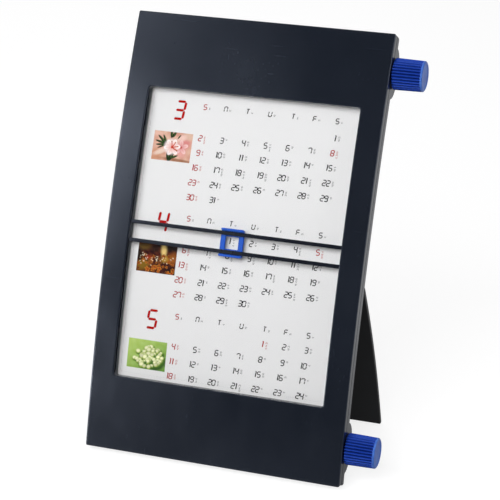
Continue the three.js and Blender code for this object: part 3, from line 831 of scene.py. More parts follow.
front_points, front_marks = lens_surface(PANE_FRONT)
back_points, back_marks = lens_surface(PANE_BACK)
ring_size = front_points.shape[1]
front_count = len(PANE_FRONT) * ring_size
points = np.concatenate([front_points.reshape(-1, 3), back_points.reshape(-1, 3)])
marks = np.concatenate([front_marks.ravel(), back_marks.ravel()])
faces = grid_faces(len(PANE_FRONT), ring_size, False, True).tolist()
faces += (grid_faces(len(PANE_BACK), ring_size, False, True) + front_count).tolist()
index = np.arange(ring_size)
following = (index + 1) % ring_size
last = front_count + (len(PANE_BACK) - 1) * ring_size
faces += np.stack([index, following, last + following, last + index], axis=1).tolist()
faces += across_ring(front_count - ring_size)
faces += across_ring(front_count)
piece("window_pane", points, faces, LENS, "frame", ["window_lens"], marks, 30)

# %% [markdown]
# The printed strip is a thin ribbon. Behind the window it lies on its backing sheet, and at
# both ends it leaves the sheet in a straight line and meets its roll. It is a line in the
# side view with a width, so it is carried across like the back shell.

# %% The paper strip
PAPER_FRONT, PAPER_THICK, PAPER_HALF = 5.7, 0.1, 51.5
ROLL_RADIUS = {"lower": 5.4, "upper": 3.9}
STRIP_CLEAR, SHEET_OVERLAP = 0.35, 4


def tangent_end(name, s_edge, sign):
    """Points from where the strip touches its roll to a short way round it."""
    ay, az = side_point(ROLLS[name], ROLL_SETBACK)
    py, pz = side_point(s_edge, PAPER_FRONT + PAPER_THICK / 2)
    radius = ROLL_RADIUS[name] + STRIP_CLEAR
    reach = math.hypot(ay - py, az - pz)
    lean = math.asin(radius / reach)
    heading = math.atan2(az - pz, ay - py)
    length = math.sqrt(reach**2 - radius**2)
    ways = (heading - lean, heading + lean)
    ends = [(py + length * math.cos(way), pz + length * math.sin(way)) for way in ways]
    touch = min(ends, key=lambda point: side_coordinates(*point)[1])
    turn = sign * np.radians(np.linspace(0, 20, 8))
    dy, dz = touch[0] - ay, touch[1] - az
    y = ay + dy * np.cos(turn) - dz * np.sin(turn)
    z = az + dy * np.sin(turn) + dz * np.cos(turn)
    return np.stack([y, z], axis=1)


def strip_line():
    """(y, z) along the strip: an arc behind the window, and a tangent from each end to its roll."""
    low, high = WINDOW_LOW - SHEET_OVERLAP, WINDOW_HIGH + SHEET_OVERLAP
    lower = tangent_end("lower", low, 1)[::-1]
    upper = tangent_end("upper", high, -1)
    flat = np.linspace(low, high, 70)
    middle = np.stack(side_point(flat, PAPER_FRONT + PAPER_THICK / 2), axis=1)
    return np.concatenate([lower, middle, upper])


line = strip_line()
normal = outward(line)
loop = np.concatenate([line - normal * PAPER_THICK / 2, (line + normal * PAPER_THICK / 2)[::-1]])
sides = np.array([-PAPER_HALF, -PAPER_HALF / 2, 0, PAPER_HALF / 2, PAPER_HALF])
points = np.concatenate([
    np.broadcast_to(sides[:, None, None], (5, len(loop), 1)), np.broadcast_to(loop, (5, *loop.shape)),
], axis=2) / 1000
faces = grid_faces(5, len(loop), False, True).tolist()
for first in (0, 4 * len(loop)):
    end = first + len(loop) - 1
    faces += [[first + i, first + i + 1, end - 1 - i, end - i] for i in range(len(line) - 1)]
piece("paper_strip", points, faces, PAPER, "frame", ["paper_band"], None, 40)

# %% [markdown]
# The dates are set in slanted seven-bar figures, like those of a pocket calculator. A bar is a
# long hexagon, and a figure is the list of the bars that are lit. Building them as flat
# shapes just above the paper keeps every edge crisp at any distance.

# %% Seven-bar figures
BAR_ENDS = {
    "a": ((-1, 1), (1, 1)), "b": ((1, 1), (1, 0)), "c": ((1, 0), (1, -1)), "d": ((-1, -1), (1, -1)),
    "e": ((-1, 0), (-1, -1)), "f": ((-1, 1), (-1, 0)), "g": ((-1, 0), (1, 0)),
    "i": ((0.15, 1), (0.15, -1)), "j": ((-0.45, 0.72), (0.10, 0.98)), "t": ((0, 0.84), (0, -1)),
    "k": ((0, 1), (0, 0)), "l": ((0, 0), (0, -1)),
}
LIT = {
    "0": "abcdef", "1": "ij", "2": "abged", "3": "abgcd", "4": "fgbc", "5": "afgcd", "6": "afgedc",
    "7": "abcf", "8": "abcdefg", "9": "abcdfg",
    "S": "afgcd", "M": "feabc", "T": "at", "W": "fedcb", "F": "afge",
    "w": "adgkl", "x": "abfgec", "y": "fbgkl", "z": "agdlfb",
}
SHORT_F = ((-1, 1), (-1, 0.45))
SLANT = 0.11
INK_DEPTH = PAPER_FRONT - 0.02


def bar(start, end, half_width, gap):
    """A hexagon from start to end: straight sides, and both ends cut to a point at 45 degrees."""
    start, end = np.array(start, float), np.array(end, float)
    along = end - start
    length = np.hypot(*along)
    along /= length
    side = np.array([-along[1], along[0]]) * half_width
    tip, shoulder = along * gap, along * (gap + half_width * 0.8)
    return np.array([
        start + tip, start + shoulder + side, end - shoulder + side,
        end - tip, end - shoulder - side, start + shoulder - side,
    ])


def figure(character, u, s, half_wide, half_tall, half_stroke):
    """The bars of one character as hexagons of (u, s), slanted to the right."""
    half_stroke *= 1.15 if character == "1" else 1
    half_tall += half_stroke * 0.9 if character in "14" else 0
    size = np.array([half_wide, half_tall])
    gap = 0.035 * half_tall
    shapes = []
    for name in LIT[character]:
        start, end = SHORT_F if (character, name) == ("7", "f") else BAR_ENDS[name]
        shape = bar(np.array(start) * size, np.array(end) * size, half_stroke, gap)
        shapes.append(np.stack([u + shape[:, 0] + SLANT * shape[:, 1], s + shape[:, 1]], axis=1))
    return shapes


def on_paper(name, points, faces, finish):
    """An open sheet just above the paper, all its faces turned the same way."""
    made = piece(name, points, faces, finish, "frame", [], None, 60, False)
    if made.data.polygons[0].normal.dot(Vector(inward_axis(WINDOW_MIDDLE))) < 0:
        made.data.flip_normals()
    return made


def printed(name, shapes, ink):
    """All the hexagons of one ink as a single piece."""
    shapes = np.array(shapes)
    points = panel(shapes[..., 0], shapes[..., 1], INK_DEPTH)
    on_paper(name, points, np.arange(len(shapes) * 6).reshape(-1, 6), ink)


# %% [markdown]
# A month is a heading, a row of weekday initials and up to six rows of dates. Sundays and a
# holiday are red. The dates are set flush right in each column, and a figure one takes less
# room than the others, as in print. Beside each date stands a short column of tiny grey
# signs, too small to read, and one beside each initial.

# %% The three months
FIRST_COLUMN, COLUMN_STEP = -24.4, 10.72
HEAD_COLUMNS = np.array([-24.1, -13.95, -3.15, 7.75, 18.95, 29.3, 40.15])
MONTHS = [
    {"name": "3", "at": (-36.4, 163.3), "head": 166.0, "starts": 6, "last": 31, "holidays": {8},
     "shift": 0.0, "rows": [158.05, 151.1, 144.15, 137.05, 129.95, 122.95]},
    {"name": "4", "at": (-37.2, 110.0), "head": 112.9, "starts": 2, "last": 30, "holidays": {5},
     "shift": -0.55, "rows": [104.95, 97.95, 90.93, 83.75, 76.77]},
    {"name": "5", "at": (-36.9, 63.6), "head": 66.4, "starts": 4, "last": 24, "holidays": {1},
     "shift": -0.55, "rows": [59.5, 52.15, 45.1, 38.05]},
]
SMALL = (0.76, 1.27, 0.23)
LETTER = (0.74, 1.17, 0.22)
BIG = (2.15, 4.15, 0.60)
ADVANCE, ADVANCE_ONE, RIGHT_EDGE = 1.92, 1.22, 0.94
SIGN = (0.38, 0.40, 0.07)
SIGN_NAMES = "wxyz"
SIGN_ASIDE, SIGN_HIGH, SIGN_STEP = 1.2, 0.5, 1.25
SIGN_COUNTS = [1, 2, 2, 2, 3]
HEAD_SIGN = (2.15, -0.6)
sign_draws = np.random.default_rng(12)
black_shapes, red_shapes, month_shapes = [], [], []
grey_signs, red_signs = [], []
for month in MONTHS:
    month_shapes += figure(month["name"], *month["at"], *BIG)
    for column, letter in enumerate("SMTWTFS"):
        target = red_shapes if column == 0 else black_shapes
        across = HEAD_COLUMNS[column] + month["shift"]
        target += figure(letter, across, month["head"], *LETTER)
        sign = SIGN_NAMES[column % len(SIGN_NAMES)]
        grey_signs += figure(sign, across + HEAD_SIGN[0], month["head"] + HEAD_SIGN[1], *SIGN)
    for day in range(1, month["last"] + 1):
        place = month["starts"] + day - 1
        column, row = place % 7, place // 7
        target = red_shapes if column == 0 or day in month["holidays"] else black_shapes
        right = FIRST_COLUMN + COLUMN_STEP * column + month["shift"] + RIGHT_EDGE
        signs = red_signs if target is red_shapes else grey_signs
        count = 3 if day in month["holidays"] else SIGN_COUNTS[sign_draws.integers(len(SIGN_COUNTS))]
        for number in range(count):
            sign = SIGN_NAMES[sign_draws.integers(len(SIGN_NAMES))]
            high = month["rows"][row] + SIGN_HIGH - SIGN_STEP * number
            signs += figure(sign, right + SIGN_ASIDE, high, *SIGN)
        for character in reversed(str(day)):
            advance = ADVANCE_ONE if character == "1" else ADVANCE
            target += figure(character, right - advance / 2, month["rows"][row], *SMALL)
            right -= advance
printed("print_black", black_shapes, INK)
printed("print_red", red_shapes, INK_DATE_RED)
printed("print_months", month_shapes, INK_MONTH_RED)
printed("print_signs", grey_signs, INK_SIGN)
printed("print_signs_red", red_signs, INK_SIGN_RED)

# %% [markdown]
# Beside each month is a small flower picture. A picture is a fine grid of points with a
# colour each, and the colour is a formula: a soft background, and on it petals and leaves as
# ellipses with blurred rims. A fixed seed scatters them, so every run gives the same flowers.

# %% Small pictures
def ellipse(x, y, cx, cy, a, b, degrees, soft=0.25):
    """1 inside a turned ellipse and 0 outside, with a blurred rim."""
    c, n = math.cos(math.radians(degrees)), math.sin(math.radians(degrees))
    along, over = (x - cx) * c + (y - cy) * n, -(x - cx) * n + (y - cy) * c
    distance = np.sqrt((along / a) ** 2 + (over / b) ** 2)
    t = np.clip((1 + soft / 2 - distance) / soft, 0, 1)
    return t * t * (3 - 2 * t)


def lay(colour, mask, paint):
    """colour * (1 - mask) + paint * mask."""
    return colour * (1 - mask[..., None]) + np.asarray(paint, float) * mask[..., None]


def waves(x, y, seed, amount, scale=9.0):
    """A soft uneven field from a few crossed sine waves."""
    draw = np.random.default_rng(seed)
    total = np.zeros_like(x)
    for _ in range(7):
        kx, ky, phase = draw.uniform(-scale, scale, 2).tolist() + [draw.uniform(0, 6.28)]
        total += np.sin(kx * x * 3 + ky * y * 3 + phase)
    return total / 7 * amount


def patches(colour, x, y, soft, strength, places):
    """Ellipses of (x, y, length, width, turn, paint) laid over the colour one after another."""
    for *place, paint in places:
        colour = lay(colour, ellipse(x, y, *place, soft) * strength, paint)
    return colour


def blossom(colour, x, y, cx, cy, size, petals, turn, pale, deep, heart):
    """Petals round a centre: each an ellipse, paler at its tip, with a deep vein and a heart."""
    for k in range(petals):
        angle = turn + 360 * k / petals
        c, n = math.cos(math.radians(angle)), math.sin(math.radians(angle))
        px, py = cx + c * size * 0.55, cy + n * size * 0.55
        mask = ellipse(x, y, px, py, size * 0.55, size * 0.30, angle, 0.22)
        rim = ellipse(x, y, px, py, size * 0.60, size * 0.35, angle, 0.22)
        reach = np.clip(np.hypot(x - cx, y - cy) / size, 0, 1)[..., None]
        paint = np.asarray(deep) * (1 - reach) + np.asarray(pale) * reach
        colour = lay(colour, rim * 0.35, np.asarray(deep) * 0.7)
        colour = lay(colour, mask, paint)
        colour = lay(colour, ellipse(x, y, px, py, size * 0.42, size * 0.035, angle, 0.8) * 0.5, deep)
    return lay(colour, ellipse(x, y, cx, cy, size * 0.16, size * 0.16, 0, 0.6), heart)


def spring_picture(x, y):
    """A white blossom with a red heart, narrow dark leaves round it, a soft warm pink ground."""
    drift = waves(x, y, 3, 0.5)[..., None]
    colour = np.array([0.70, 0.40, 0.30]) + drift * np.array([0.25, 0.35, 0.28])
    colour = patches(colour, x, y, 1.1, 0.85, (
        (0.10, 0.15, 0.30, 0.20, 20, (0.62, 0.28, 0.16)), (1.15, 0.62, 0.24, 0.16, 60, (0.72, 0.24, 0.24)),
        (0.98, 0.40, 0.16, 0.26, 40, (0.80, 0.36, 0.34)), (1.25, 0.90, 0.20, 0.14, 0, (0.75, 0.52, 0.40)),
        (0.30, 0.30, 0.26, 0.08, 25, (0.86, 0.68, 0.58)), (0.95, 0.05, 0.60, 0.05, -3, (0.30, 0.12, 0.05)),
        (1.00, 0.80, 0.18, 0.10, 30, (0.88, 0.62, 0.55)), (0.15, 0.92, 0.18, 0.08, 0, (0.80, 0.50, 0.40)),
    ))
    for cx, cy, a, b, turn in (
        (0.30, 0.62, 0.23, 0.040, 168), (0.33, 0.70, 0.23, 0.045, 140), (0.42, 0.72, 0.18, 0.040, 118),
        (0.30, 0.54, 0.20, 0.035, 185), (0.33, 0.48, 0.17, 0.025, 205), (0.63, 0.92, 0.13, 0.050, 95),
        (0.73, 0.93, 0.12, 0.045, 65), (0.91, 0.85, 0.09, 0.022, 55), (0.60, 0.16, 0.17, 0.070, 100),
        (0.68, 0.12, 0.19, 0.060, 60), (0.78, 0.14, 0.18, 0.035, 25),
    ):
        colour = lay(colour, ellipse(x, y, cx, cy, a, b, turn, 0.25), (0.008, 0.025, 0.008))
        shine = ellipse(x, y, cx + 0.01, cy + 0.01, a * 0.6, b * 0.3, turn, 1.0)
        colour = lay(colour, shine * 0.6, (0.10, 0.20, 0.03))
    colour = blossom(colour, x, y, 1.02, 0.50, 0.24, 5, 20,
                     (0.90, 0.62, 0.60), (0.72, 0.26, 0.25), (0.55, 0.08, 0.06))
    colour = lay(colour, ellipse(x, y, 0.66, 0.50, 0.24, 0.26, 0, 0.5), (0.92, 0.78, 0.76))
    colour = blossom(colour, x, y, 0.70, 0.48, 0.27, 6, 8,
                     (1.0, 0.95, 0.94), (0.85, 0.42, 0.36), (0.60, 0.04, 0.02))
    for turn in (-25, 15, 60, 100, 330):
        c, n = math.cos(math.radians(turn)), math.sin(math.radians(turn))
        thread = ellipse(x, y, 0.70 + 0.1 * c, 0.47 + 0.1 * n, 0.11, 0.016, turn, 0.6)
        colour = lay(colour, thread, (0.60, 0.05, 0.02))
        tip = ellipse(x, y, 0.70 + 0.2 * c, 0.47 + 0.2 * n, 0.03, 0.02, turn, 0.5)
        colour = lay(colour, tip, (0.45, 0.10, 0.01))
    return colour


def autumn_picture(x, y):
    """Small pale blossoms in low warm light on a dark red ground, yellow-green leaves between."""
    drift = waves(x, y, 8, 0.5, 14)[..., None]
    colour = np.array([0.13, 0.028, 0.008]) + drift * np.array([0.30, 0.11, 0.02])
    colour = patches(colour, x, y, 1.2, 0.85, (
        (0.22, 0.86, 0.24, 0.12, 10, (0.20, 0.13, 0.02)), (1.20, 0.92, 0.24, 0.16, 0, (0.015, 0.010, 0.006)),
        (0.92, 0.82, 0.10, 0.26, 5, (0.95, 0.76, 0.34)), (0.60, 0.82, 0.16, 0.12, 0, (0.03, 0.012, 0.006)),
        (1.28, 0.55, 0.14, 0.20, 0, (0.42, 0.16, 0.03)), (0.06, 0.58, 0.10, 0.20, 0, (0.02, 0.012, 0.004)),
        (0.22, 0.22, 0.26, 0.16, 15, (0.34, 0.22, 0.02)), (0.75, 0.16, 0.30, 0.16, -5, (0.14, 0.035, 0.008)),
        (1.00, 0.50, 0.14, 0.10, 30, (0.60, 0.38, 0.06)), (0.42, 0.50, 0.12, 0.08, 0, (0.45, 0.06, 0.01)),
        (1.20, 0.12, 0.30, 0.16, 10, (0.05, 0.012, 0.004)),
    ))
    draw = np.random.default_rng(21)
    for _ in range(46):
        cx, cy = draw.uniform(0.02, 1.38), draw.uniform(0.05, 0.60)
        glow = draw.uniform(0.4, 1.0)
        pale = np.array([0.80, 0.42, 0.05]) * glow
        deep = np.array([0.50, 0.030, 0.010]) * glow
        size, petals, turn = draw.uniform(0.03, 0.08), int(draw.integers(4, 7)), draw.uniform(0, 70)
        colour = blossom(colour, x, y, cx, cy, size, petals, turn, pale, deep, (0.12, 0.01, 0.004))
    for _ in range(34):
        cx, cy = draw.uniform(0.05, 1.30), 0.46 + draw.normal() * 0.09
        a, b, turn = draw.uniform(0.012, 0.030), draw.uniform(0.010, 0.020), draw.uniform(0, 180)
        speck = ellipse(x, y, cx, cy, a, b, turn, 0.6)
        colour = lay(colour, speck, np.array([1.0, 0.92, 0.70]) * draw.uniform(0.6, 1.0))
    return np.clip(colour, 0, 1) ** 1.3


def summer_picture(x, y):
    """A head of small cream flowers on a bright green ground, dark leaves low on the right."""
    slope = np.clip((x / 1.4 + (1 - y)) / 2, 0, 1)[..., None]
    colour = np.array([0.50, 0.66, 0.17]) * (1 - slope) + np.array([0.12, 0.30, 0.04]) * slope
    colour = colour + waves(x, y, 5, 0.05)[..., None]
    shade = (0.02, 0.06, 0.015)
    colour = patches(colour, x, y, 0.8, 0.9, (
        (1.15, 0.25, 0.3, 0.16, 25, shade), (0.95, 0.12, 0.3, 0.12, 0, shade),
        (1.2, 0.5, 0.14, 0.1, 40, shade), (0.75, 0.30, 0.14, 0.12, 60, shade),
    ))
    draw = np.random.default_rng(12)
    angles, reach = draw.uniform(0, 6.28, 62), np.sqrt(draw.uniform(0, 1, 62))
    centres = zip(0.76 + 0.52 * reach * np.cos(angles), 0.43 + 0.36 * reach * np.sin(angles))
    for cx, cy in sorted(centres, key=lambda point: -point[1]):
        size = draw.uniform(0.06, 0.10)
        glow = draw.uniform(0.7, 1.05)
        under = ellipse(x, y, cx + 0.02, cy - 0.03, size * 1.25, size * 1.05, 0, 0.6)
        colour = lay(colour, under * 0.85, (0.05, 0.15, 0.012))
        petal = ellipse(x, y, cx, cy, size, size * 0.8, draw.uniform(0, 90), 0.5)
        colour = lay(colour, petal, (0.40, 0.52, 0.09))
        light = ellipse(x, y, cx - 0.012, cy + 0.014, size * 0.75, size * 0.6, 20, 0.9)
        colour = lay(colour, light, np.array([0.96, 0.97, 0.62]) * glow)
    return colour


def picture(name, low, high, paint, wide=150, tall=108):
    """A grid of points from low to high, x and y being 0 at low and y 1 at high, coloured by paint."""
    u, s = np.meshgrid(np.linspace(low[0], high[0], wide), np.linspace(low[1], high[1], tall))
    x, y = (u - low[0]) / (high[1] - low[1]), (s - low[1]) / (high[1] - low[1])
    colour = np.clip(paint(x, y), 0, 1)
    made = on_paper(name, panel(u, s, INK_DEPTH), grid_faces(tall, wide), PICTURE)
    layer = made.data.color_attributes.new("picture", "FLOAT_COLOR", "POINT")
    rgba = np.concatenate([colour, np.ones(colour.shape[:2] + (1,))], axis=2)
    layer.data.foreach_set("color", rgba.astype(np.float32).ravel())


picture("picture_spring", (-47.3, 138.8), (-28.1, 152.6), spring_picture)
picture("picture_autumn", (-47.7, 85.5), (-28.35, 99.4), autumn_picture)
picture("picture_summer", (-47.4, 39.55), (-28.15, 53.45), summer_picture)

# %% [markdown]
# The date marker is two thin bars in one frame. A bar is a rounded section carried across the
# window, and the section is a superellipse, a shape between a circle and a square, which gives
# the soft edges of a thin moulding.

# %% The marker's bars
MARKER_S = 104.2
BAR_SPACING, BAR_TALL, BAR_FRONT, BAR_BACK = 8.66, 1.8, 0.9, 2.2
BAR_MIDDLE = (BAR_FRONT + BAR_BACK) / 2
BAR_REACH = WINDOW_HALF + 1.5 - 0.3
LINK_HALF = 0.6


def superellipse(half_a, half_b, power=5.0, count=32):
    """Points where (a / half_a) ** power + (b / half_b) ** power = 1."""
    angle = np.linspace(0, 2 * math.pi, count, endpoint=False)
    c, n = np.cos(angle), np.sin(angle)
    return half_a * np.sign(c) * np.abs(c) ** (2 / power), half_b * np.sign(n) * np.abs(n) ** (2 / power)


def cross_bar(middle):
    """The section carried along u from groove to groove, and drawn in at both ends."""
    a, b = superellipse(BAR_TALL / 2, (BAR_BACK - BAR_FRONT) / 2)
    run = np.linspace(-BAR_REACH + 1, BAR_REACH - 1, 24)
    u = np.r_[-BAR_REACH, -BAR_REACH + 0.12, run, BAR_REACH - 0.12, BAR_REACH]
    shrink = np.r_[0.85, 1.0, np.ones(24), 1.0, 0.85]
    s = middle + a[None] * shrink[:, None]
    off = BAR_MIDDLE + b[None] * shrink[:, None]
    return panel(u[:, None], s, off), capped(len(u), 32)


def end_link(side):
    """The short upright piece that joins the two bars inside the groove."""
    a, b = superellipse(LINK_HALF, (BAR_BACK - BAR_FRONT) / 2 - 0.05, 5.0, 24)
    s = np.linspace(MARKER_S - BAR_SPACING / 2, MARKER_S + BAR_SPACING / 2, 12)
    return panel(side * (BAR_REACH - 0.62) + a[None], s[:, None], 1.55 + b[None]), capped(12, 24)


bars = [cross_bar(MARKER_S + side * BAR_SPACING / 2) for side in (-1, 1)]
points, faces = gathered(bars + [end_link(-1), end_link(1)])
piece("marker_bars", points, faces, BARS, "marker", ["marker_carriage"], 0.12, 50)

# %% [markdown]
# The cursor is a small square ring behind the bars, and its upper and lower lips hook forward
# over them. It is one rounded rectangle carried round, like the case, and two lip blocks.

# %% The cursor
CURSOR_U = -1.3
CURSOR_HALF_U, CURSOR_HALF_S, LIP_BACK = 5.6, 6.6, 3.0


def cursor_ring():
    """A closed ring: outside wall, front, opening and back, with every edge eased."""
    half_u, half_s, ease = CURSOR_HALF_U, CURSOR_HALF_S, 0.22
    hole_u, hole_s = 3.2, 2.93
    front_off, back_off = 2.5, 3.4
    stages = [
        (half_u - ease, half_s - ease, 0.6, back_off), (half_u, half_s, 0.8, back_off - ease),
        (half_u, half_s, 0.8, front_off + ease), (half_u - ease, half_s - ease, 0.6, front_off),
        (hole_u + ease, hole_s + ease, 0.5, front_off), (hole_u, hole_s, 0.35, front_off + ease),
        (hole_u, hole_s, 0.35, back_off - ease), (hole_u + ease, hole_s + ease, 0.5, back_off),
    ]
    out = []
    for a, b, radius, off in stages:
        u, s, _ = rounded_rectangle(a, b, radius, MARKER_S, 6, 6, 5)
        out.append((u + CURSOR_U, s, np.full(len(u), off)))
    u, s, off = [np.array(part) for part in zip(*out)]
    return panel(u, s, off), grid_faces(len(stages), u.shape[1], True, True).tolist()


def cursor_lip(side):
    """A rounded block from the bar's front to the ring's middle, beyond one bar."""
    inner, outer = (BAR_SPACING + BAR_TALL) / 2 + 0.3, CURSOR_HALF_S
    a, b = superellipse((outer - inner) / 2, (LIP_BACK - BAR_FRONT) / 2, 6.0, 28)
    half_u = CURSOR_HALF_U
    ease, taper = np.array([0.0, 0.15, 0.4, 0.7]), np.array([0.30, 0.66, 0.90, 1.0])
    u = np.r_[-half_u + ease, np.linspace(-half_u + 1.2, half_u - 1.2, 6), half_u - ease[::-1]]
    shrink = np.r_[taper, np.ones(6), taper[::-1]]
    s = MARKER_S + side * (inner + outer) / 2 + a[None] * shrink[:, None]
    off = (BAR_FRONT + LIP_BACK) / 2 + b[None] * shrink[:, None]
    return panel(CURSOR_U + u[:, None], s, off), capped(len(u), 28)


points, faces = gathered([cursor_ring(), cursor_lip(-1), cursor_lip(1)])
weighted(piece("date_cursor", points, faces, CURSOR, "cursor", ["marker_cursor"], 0.25, 40))

# %% [markdown]
# A knob is turned on a lathe with a twist: its radius depends on the angle as well as on the
# place along the axis. A rounded wave gives the ribs, and it fades out before the smooth
# ring at the end. The flat end and the chamfer are the last few rings.

# %% The knobs
RIBS, RIB_DEPTH = 30, 1.0
KNOB_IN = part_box("drag_washer_upper")[1].x * 1000 + 0.3
KNOB_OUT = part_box("knob_upper")[1].x * 1000
KNOB_LONG = KNOB_OUT - KNOB_IN
# x as a share of the grip's length, the radius there and how deep the ribs reach
PROFILE = np.array([
    (0.000, 4.65, 0), (-0.050, 4.70, 0), (-0.052, 6.00, 0), (-0.052, 6.85, 1), (-0.046, 7.12, 1),
    (-0.03, 7.27, 1), (0.00, 7.30, 1), (0.05, 7.30, 1), (0.2, 7.27, 1), (0.4, 7.22, 1),
    (0.6, 7.17, 1), (0.8, 7.12, 1), (0.875, 7.10, 1), (0.905, 7.10, 0.85), (0.922, 7.10, 0.45),
    (0.935, 7.10, 0.1), (0.945, 7.10, 0), (0.958, 7.07, 0), (0.970, 6.98, 0), (0.981, 6.83, 0),
    (0.990, 6.64, 0), (0.997, 6.42, 0), (1.000, 6.20, 0), (0.999, 5.95, 0), (0.988, 5.70, 0),
    (0.982, 5.40, 0), (0.980, 3.0, 0), (0.980, 0.02, 0),
])
STEM = np.array([(-12.9, 0.02), (-12.9, 1.7), (-12.4, 2.2), (0.0, 2.2)])


def knob(name):
    """radius(x, angle) = the profile's radius - rib depth * a wave of the angle * the ribs' reach."""
    along = np.r_[KNOB_IN + STEM[:, 0], KNOB_IN + PROFILE[:, 0] * KNOB_LONG]
    radius = np.r_[STEM[:, 1], PROFILE[:, 1]]
    ribbed = np.r_[np.zeros(len(STEM)), PROFILE[:, 2]]
    angle = np.linspace(0, 2 * math.pi, RIBS * 10, endpoint=False)
    wave = (0.5 - 0.5 * np.cos(angle * RIBS)) ** 1.1
    r = radius[:, None] - RIB_DEPTH * ribbed[:, None] * wave[None]
    centre = roll_axis(name) * 1000
    parts = along[:, None], centre[1] + r * np.cos(angle), centre[2] + r * np.sin(angle)
    points = np.stack(np.broadcast_arrays(*parts), axis=-1)
    # Painted light: the end of the grip is painted paler as if lit, and the chamfer ring gets a painted
    # highlight.
    corner = np.exp(-(radius - 6.9) ** 2 / 0.05) * (along > KNOB_OUT - 1)
    rim = 0.75 * (along > KNOB_IN + 0.93 * KNOB_LONG) + 0.25 * corner
    # Painted highlight on the rib crests.
    painted_crest_highlight = ribbed[:, None] * (1 - wave[None]) * 0.12
    edge = np.maximum(painted_crest_highlight, rim[:, None])
    # Painted shade in the rib valleys.
    painted_shade = ribbed[:, None] * wave[None] * 0.85
    return points / 1000, capped(len(along), len(angle)), edge, painted_shade


for name in ROLLS:
    points, faces, edge, painted_shade = knob(name)
    body = f"{name}_roller"
    made = piece(f"grip_{name}", points, faces, KNOB, body, [f"knob_{name}"], edge, 44)
    # Painted shade in the rib valleys, kept as a number per point.
    mark_points(made.data, "painted_shade", painted_shade)

# %% [markdown]
# The leg is a plate bent to an arc, so it closes over the hump at the foot. Its outer and inner
# face are two grids of points up the arc and across, without the squares where the hinge's
# ears pass. Faces between the two grids close all the rims, and Bevel eases them. Two round
# knuckles take the pin.

# %% The leg
leg_low, leg_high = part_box("stand_leg")
LEG_RADIUS, LEG_THICK = 447.0, 2.4
NOTCH_HALF, NOTCH_DROP, HEEL_GAP = 2.95, 3.6, 0.32
FOOT_LEAN = math.radians(17.3)
foot = np.array([leg_high.y * 1000, leg_low.z * 1000])
leg_centre = foot - LEG_RADIUS * np.array([math.cos(FOOT_LEAN), math.sin(FOOT_LEAN)])


def leg_point(turn, radius):
    """y and z on an arc about the leg's centre: centre + radius * (cos, sin) of the turn."""
    return leg_centre[0] + radius * np.cos(turn), leg_centre[1] + radius * np.sin(turn)


def leg_turn(z, radius):
    """The turn at which that arc is at height z."""
    return math.asin((z - leg_centre[1]) / radius)


def heel_turn(radius):
    """The turn at which the leg's face at this radius comes within the heel's gap of the case."""
    turns = np.linspace(leg_turn(PIN[2], radius), leg_turn(PIN[2] + 12, radius), 4000)
    y, z = leg_point(turns, radius)
    setback = ARCH_RADIUS - np.hypot(ARCH_CENTRE[0] - y, z - ARCH_CENTRE[1])
    return turns[np.argmin(np.abs(setback - (BACK + HEEL_GAP)))]


def leg_plate():
    """Two curved sheets, the outer and the inner face, joined by their rims."""
    cuts = np.sort(np.concatenate([[-HALF, HALF], *[[m - NOTCH_HALF, m + NOTCH_HALF] for m in EARS]]))
    u = np.concatenate([np.linspace(a, b, 7) for a, b in zip(cuts[:-1], cuts[1:])])
    u = np.unique(u.round(4))
    layers = []
    notch_turn = leg_turn(PIN[2], LEG_RADIUS - LEG_THICK / 2) - NOTCH_DROP / LEG_RADIUS
    for radius in (LEG_RADIUS, LEG_RADIUS - LEG_THICK):
        low, high = leg_turn(foot[1], radius), heel_turn(radius)
        below = low + (notch_turn - low) * np.linspace(0, 1, 40)
        above = notch_turn + (high - notch_turn) * np.linspace(0, 1, 7)[1:]
        turns = np.r_[below, above]
        y, z = leg_point(turns, radius)
        layers.append(np.stack(np.broadcast_arrays(u[None], y[:, None], z[:, None]), axis=-1))
    rows, columns = layers[0].shape[:2]
    middle_u = (u[:-1] + u[1:]) / 2
    in_notch = (np.abs(middle_u[:, None] - np.array(EARS)[None]) < NOTCH_HALF).any(axis=1)
    row = np.arange(rows - 1)[:, None]
    keep = ~((row >= 39) & in_notch[None])
    cell = np.argwhere(keep)
    base = cell[:, 0] * columns + cell[:, 1]
    sheet = np.stack([base, base + 1, base + columns + 1, base + columns], axis=1)
    size = rows * columns
    faces = sheet.tolist() + (sheet[:, ::-1] + size).tolist()
    ends = np.concatenate([np.stack([sheet[:, k], sheet[:, (k + 1) % 4]], axis=1) for k in range(4)])
    known = set(map(tuple, ends.tolist()))
    rims = [(a, b) for a, b in known if (b, a) not in known]
    faces += [[b, a, a + size, b + size] for a, b in rims]
    return np.concatenate([layer.reshape(-1, 3) for layer in layers]) / 1000, faces


points, faces = leg_plate()
used = np.unique(np.concatenate([np.ravel(face) for face in faces]))
renumber = np.full(len(points), -1)
renumber[used] = np.arange(len(used))
faces = [renumber[face].tolist() for face in faces]
leg = piece("leg_plate", points[used], faces, LEG, "leg", ["stand_leg"], 0.1, 35)
eased = leg.modifiers.new("eased_rims", "BEVEL")
eased.width = 0.0004
eased.segments = 3
eased.limit_method = "ANGLE"
eased.angle_limit = math.radians(50)
eased.harden_normals = True


def knuckle(start, end, radius=2.8, bore=1.5):
    """A tube about the pin: out along the outside, in along the bore, both rims eased."""
    heights = [start + 0.25, start, start, start + 0.2, end - 0.2, end, end, end - 0.25]
    radii = [bore, bore + 0.25, radius - 0.3, radius, radius, radius - 0.3, bore + 0.25, bore]
    rings = cylinder_points(PIN / 1000, [1, 0, 0], radii, heights, 40)
    return rings, grid_faces(8, 40, True, True).tolist()


between = [(a + NOTCH_HALF, b - NOTCH_HALF) for a, b in zip(EARS[:-1], EARS[1:])]
points, faces = gathered([knuckle(start, end) for start, end in between])
piece("leg_knuckles", points, faces, LEG, "leg", [], 0.2, 50)

# %% [markdown]
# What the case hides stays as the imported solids: the tubes, rolls, plugs, washers and the
# sheet behind the paper. Each still gets the finish of its own material.

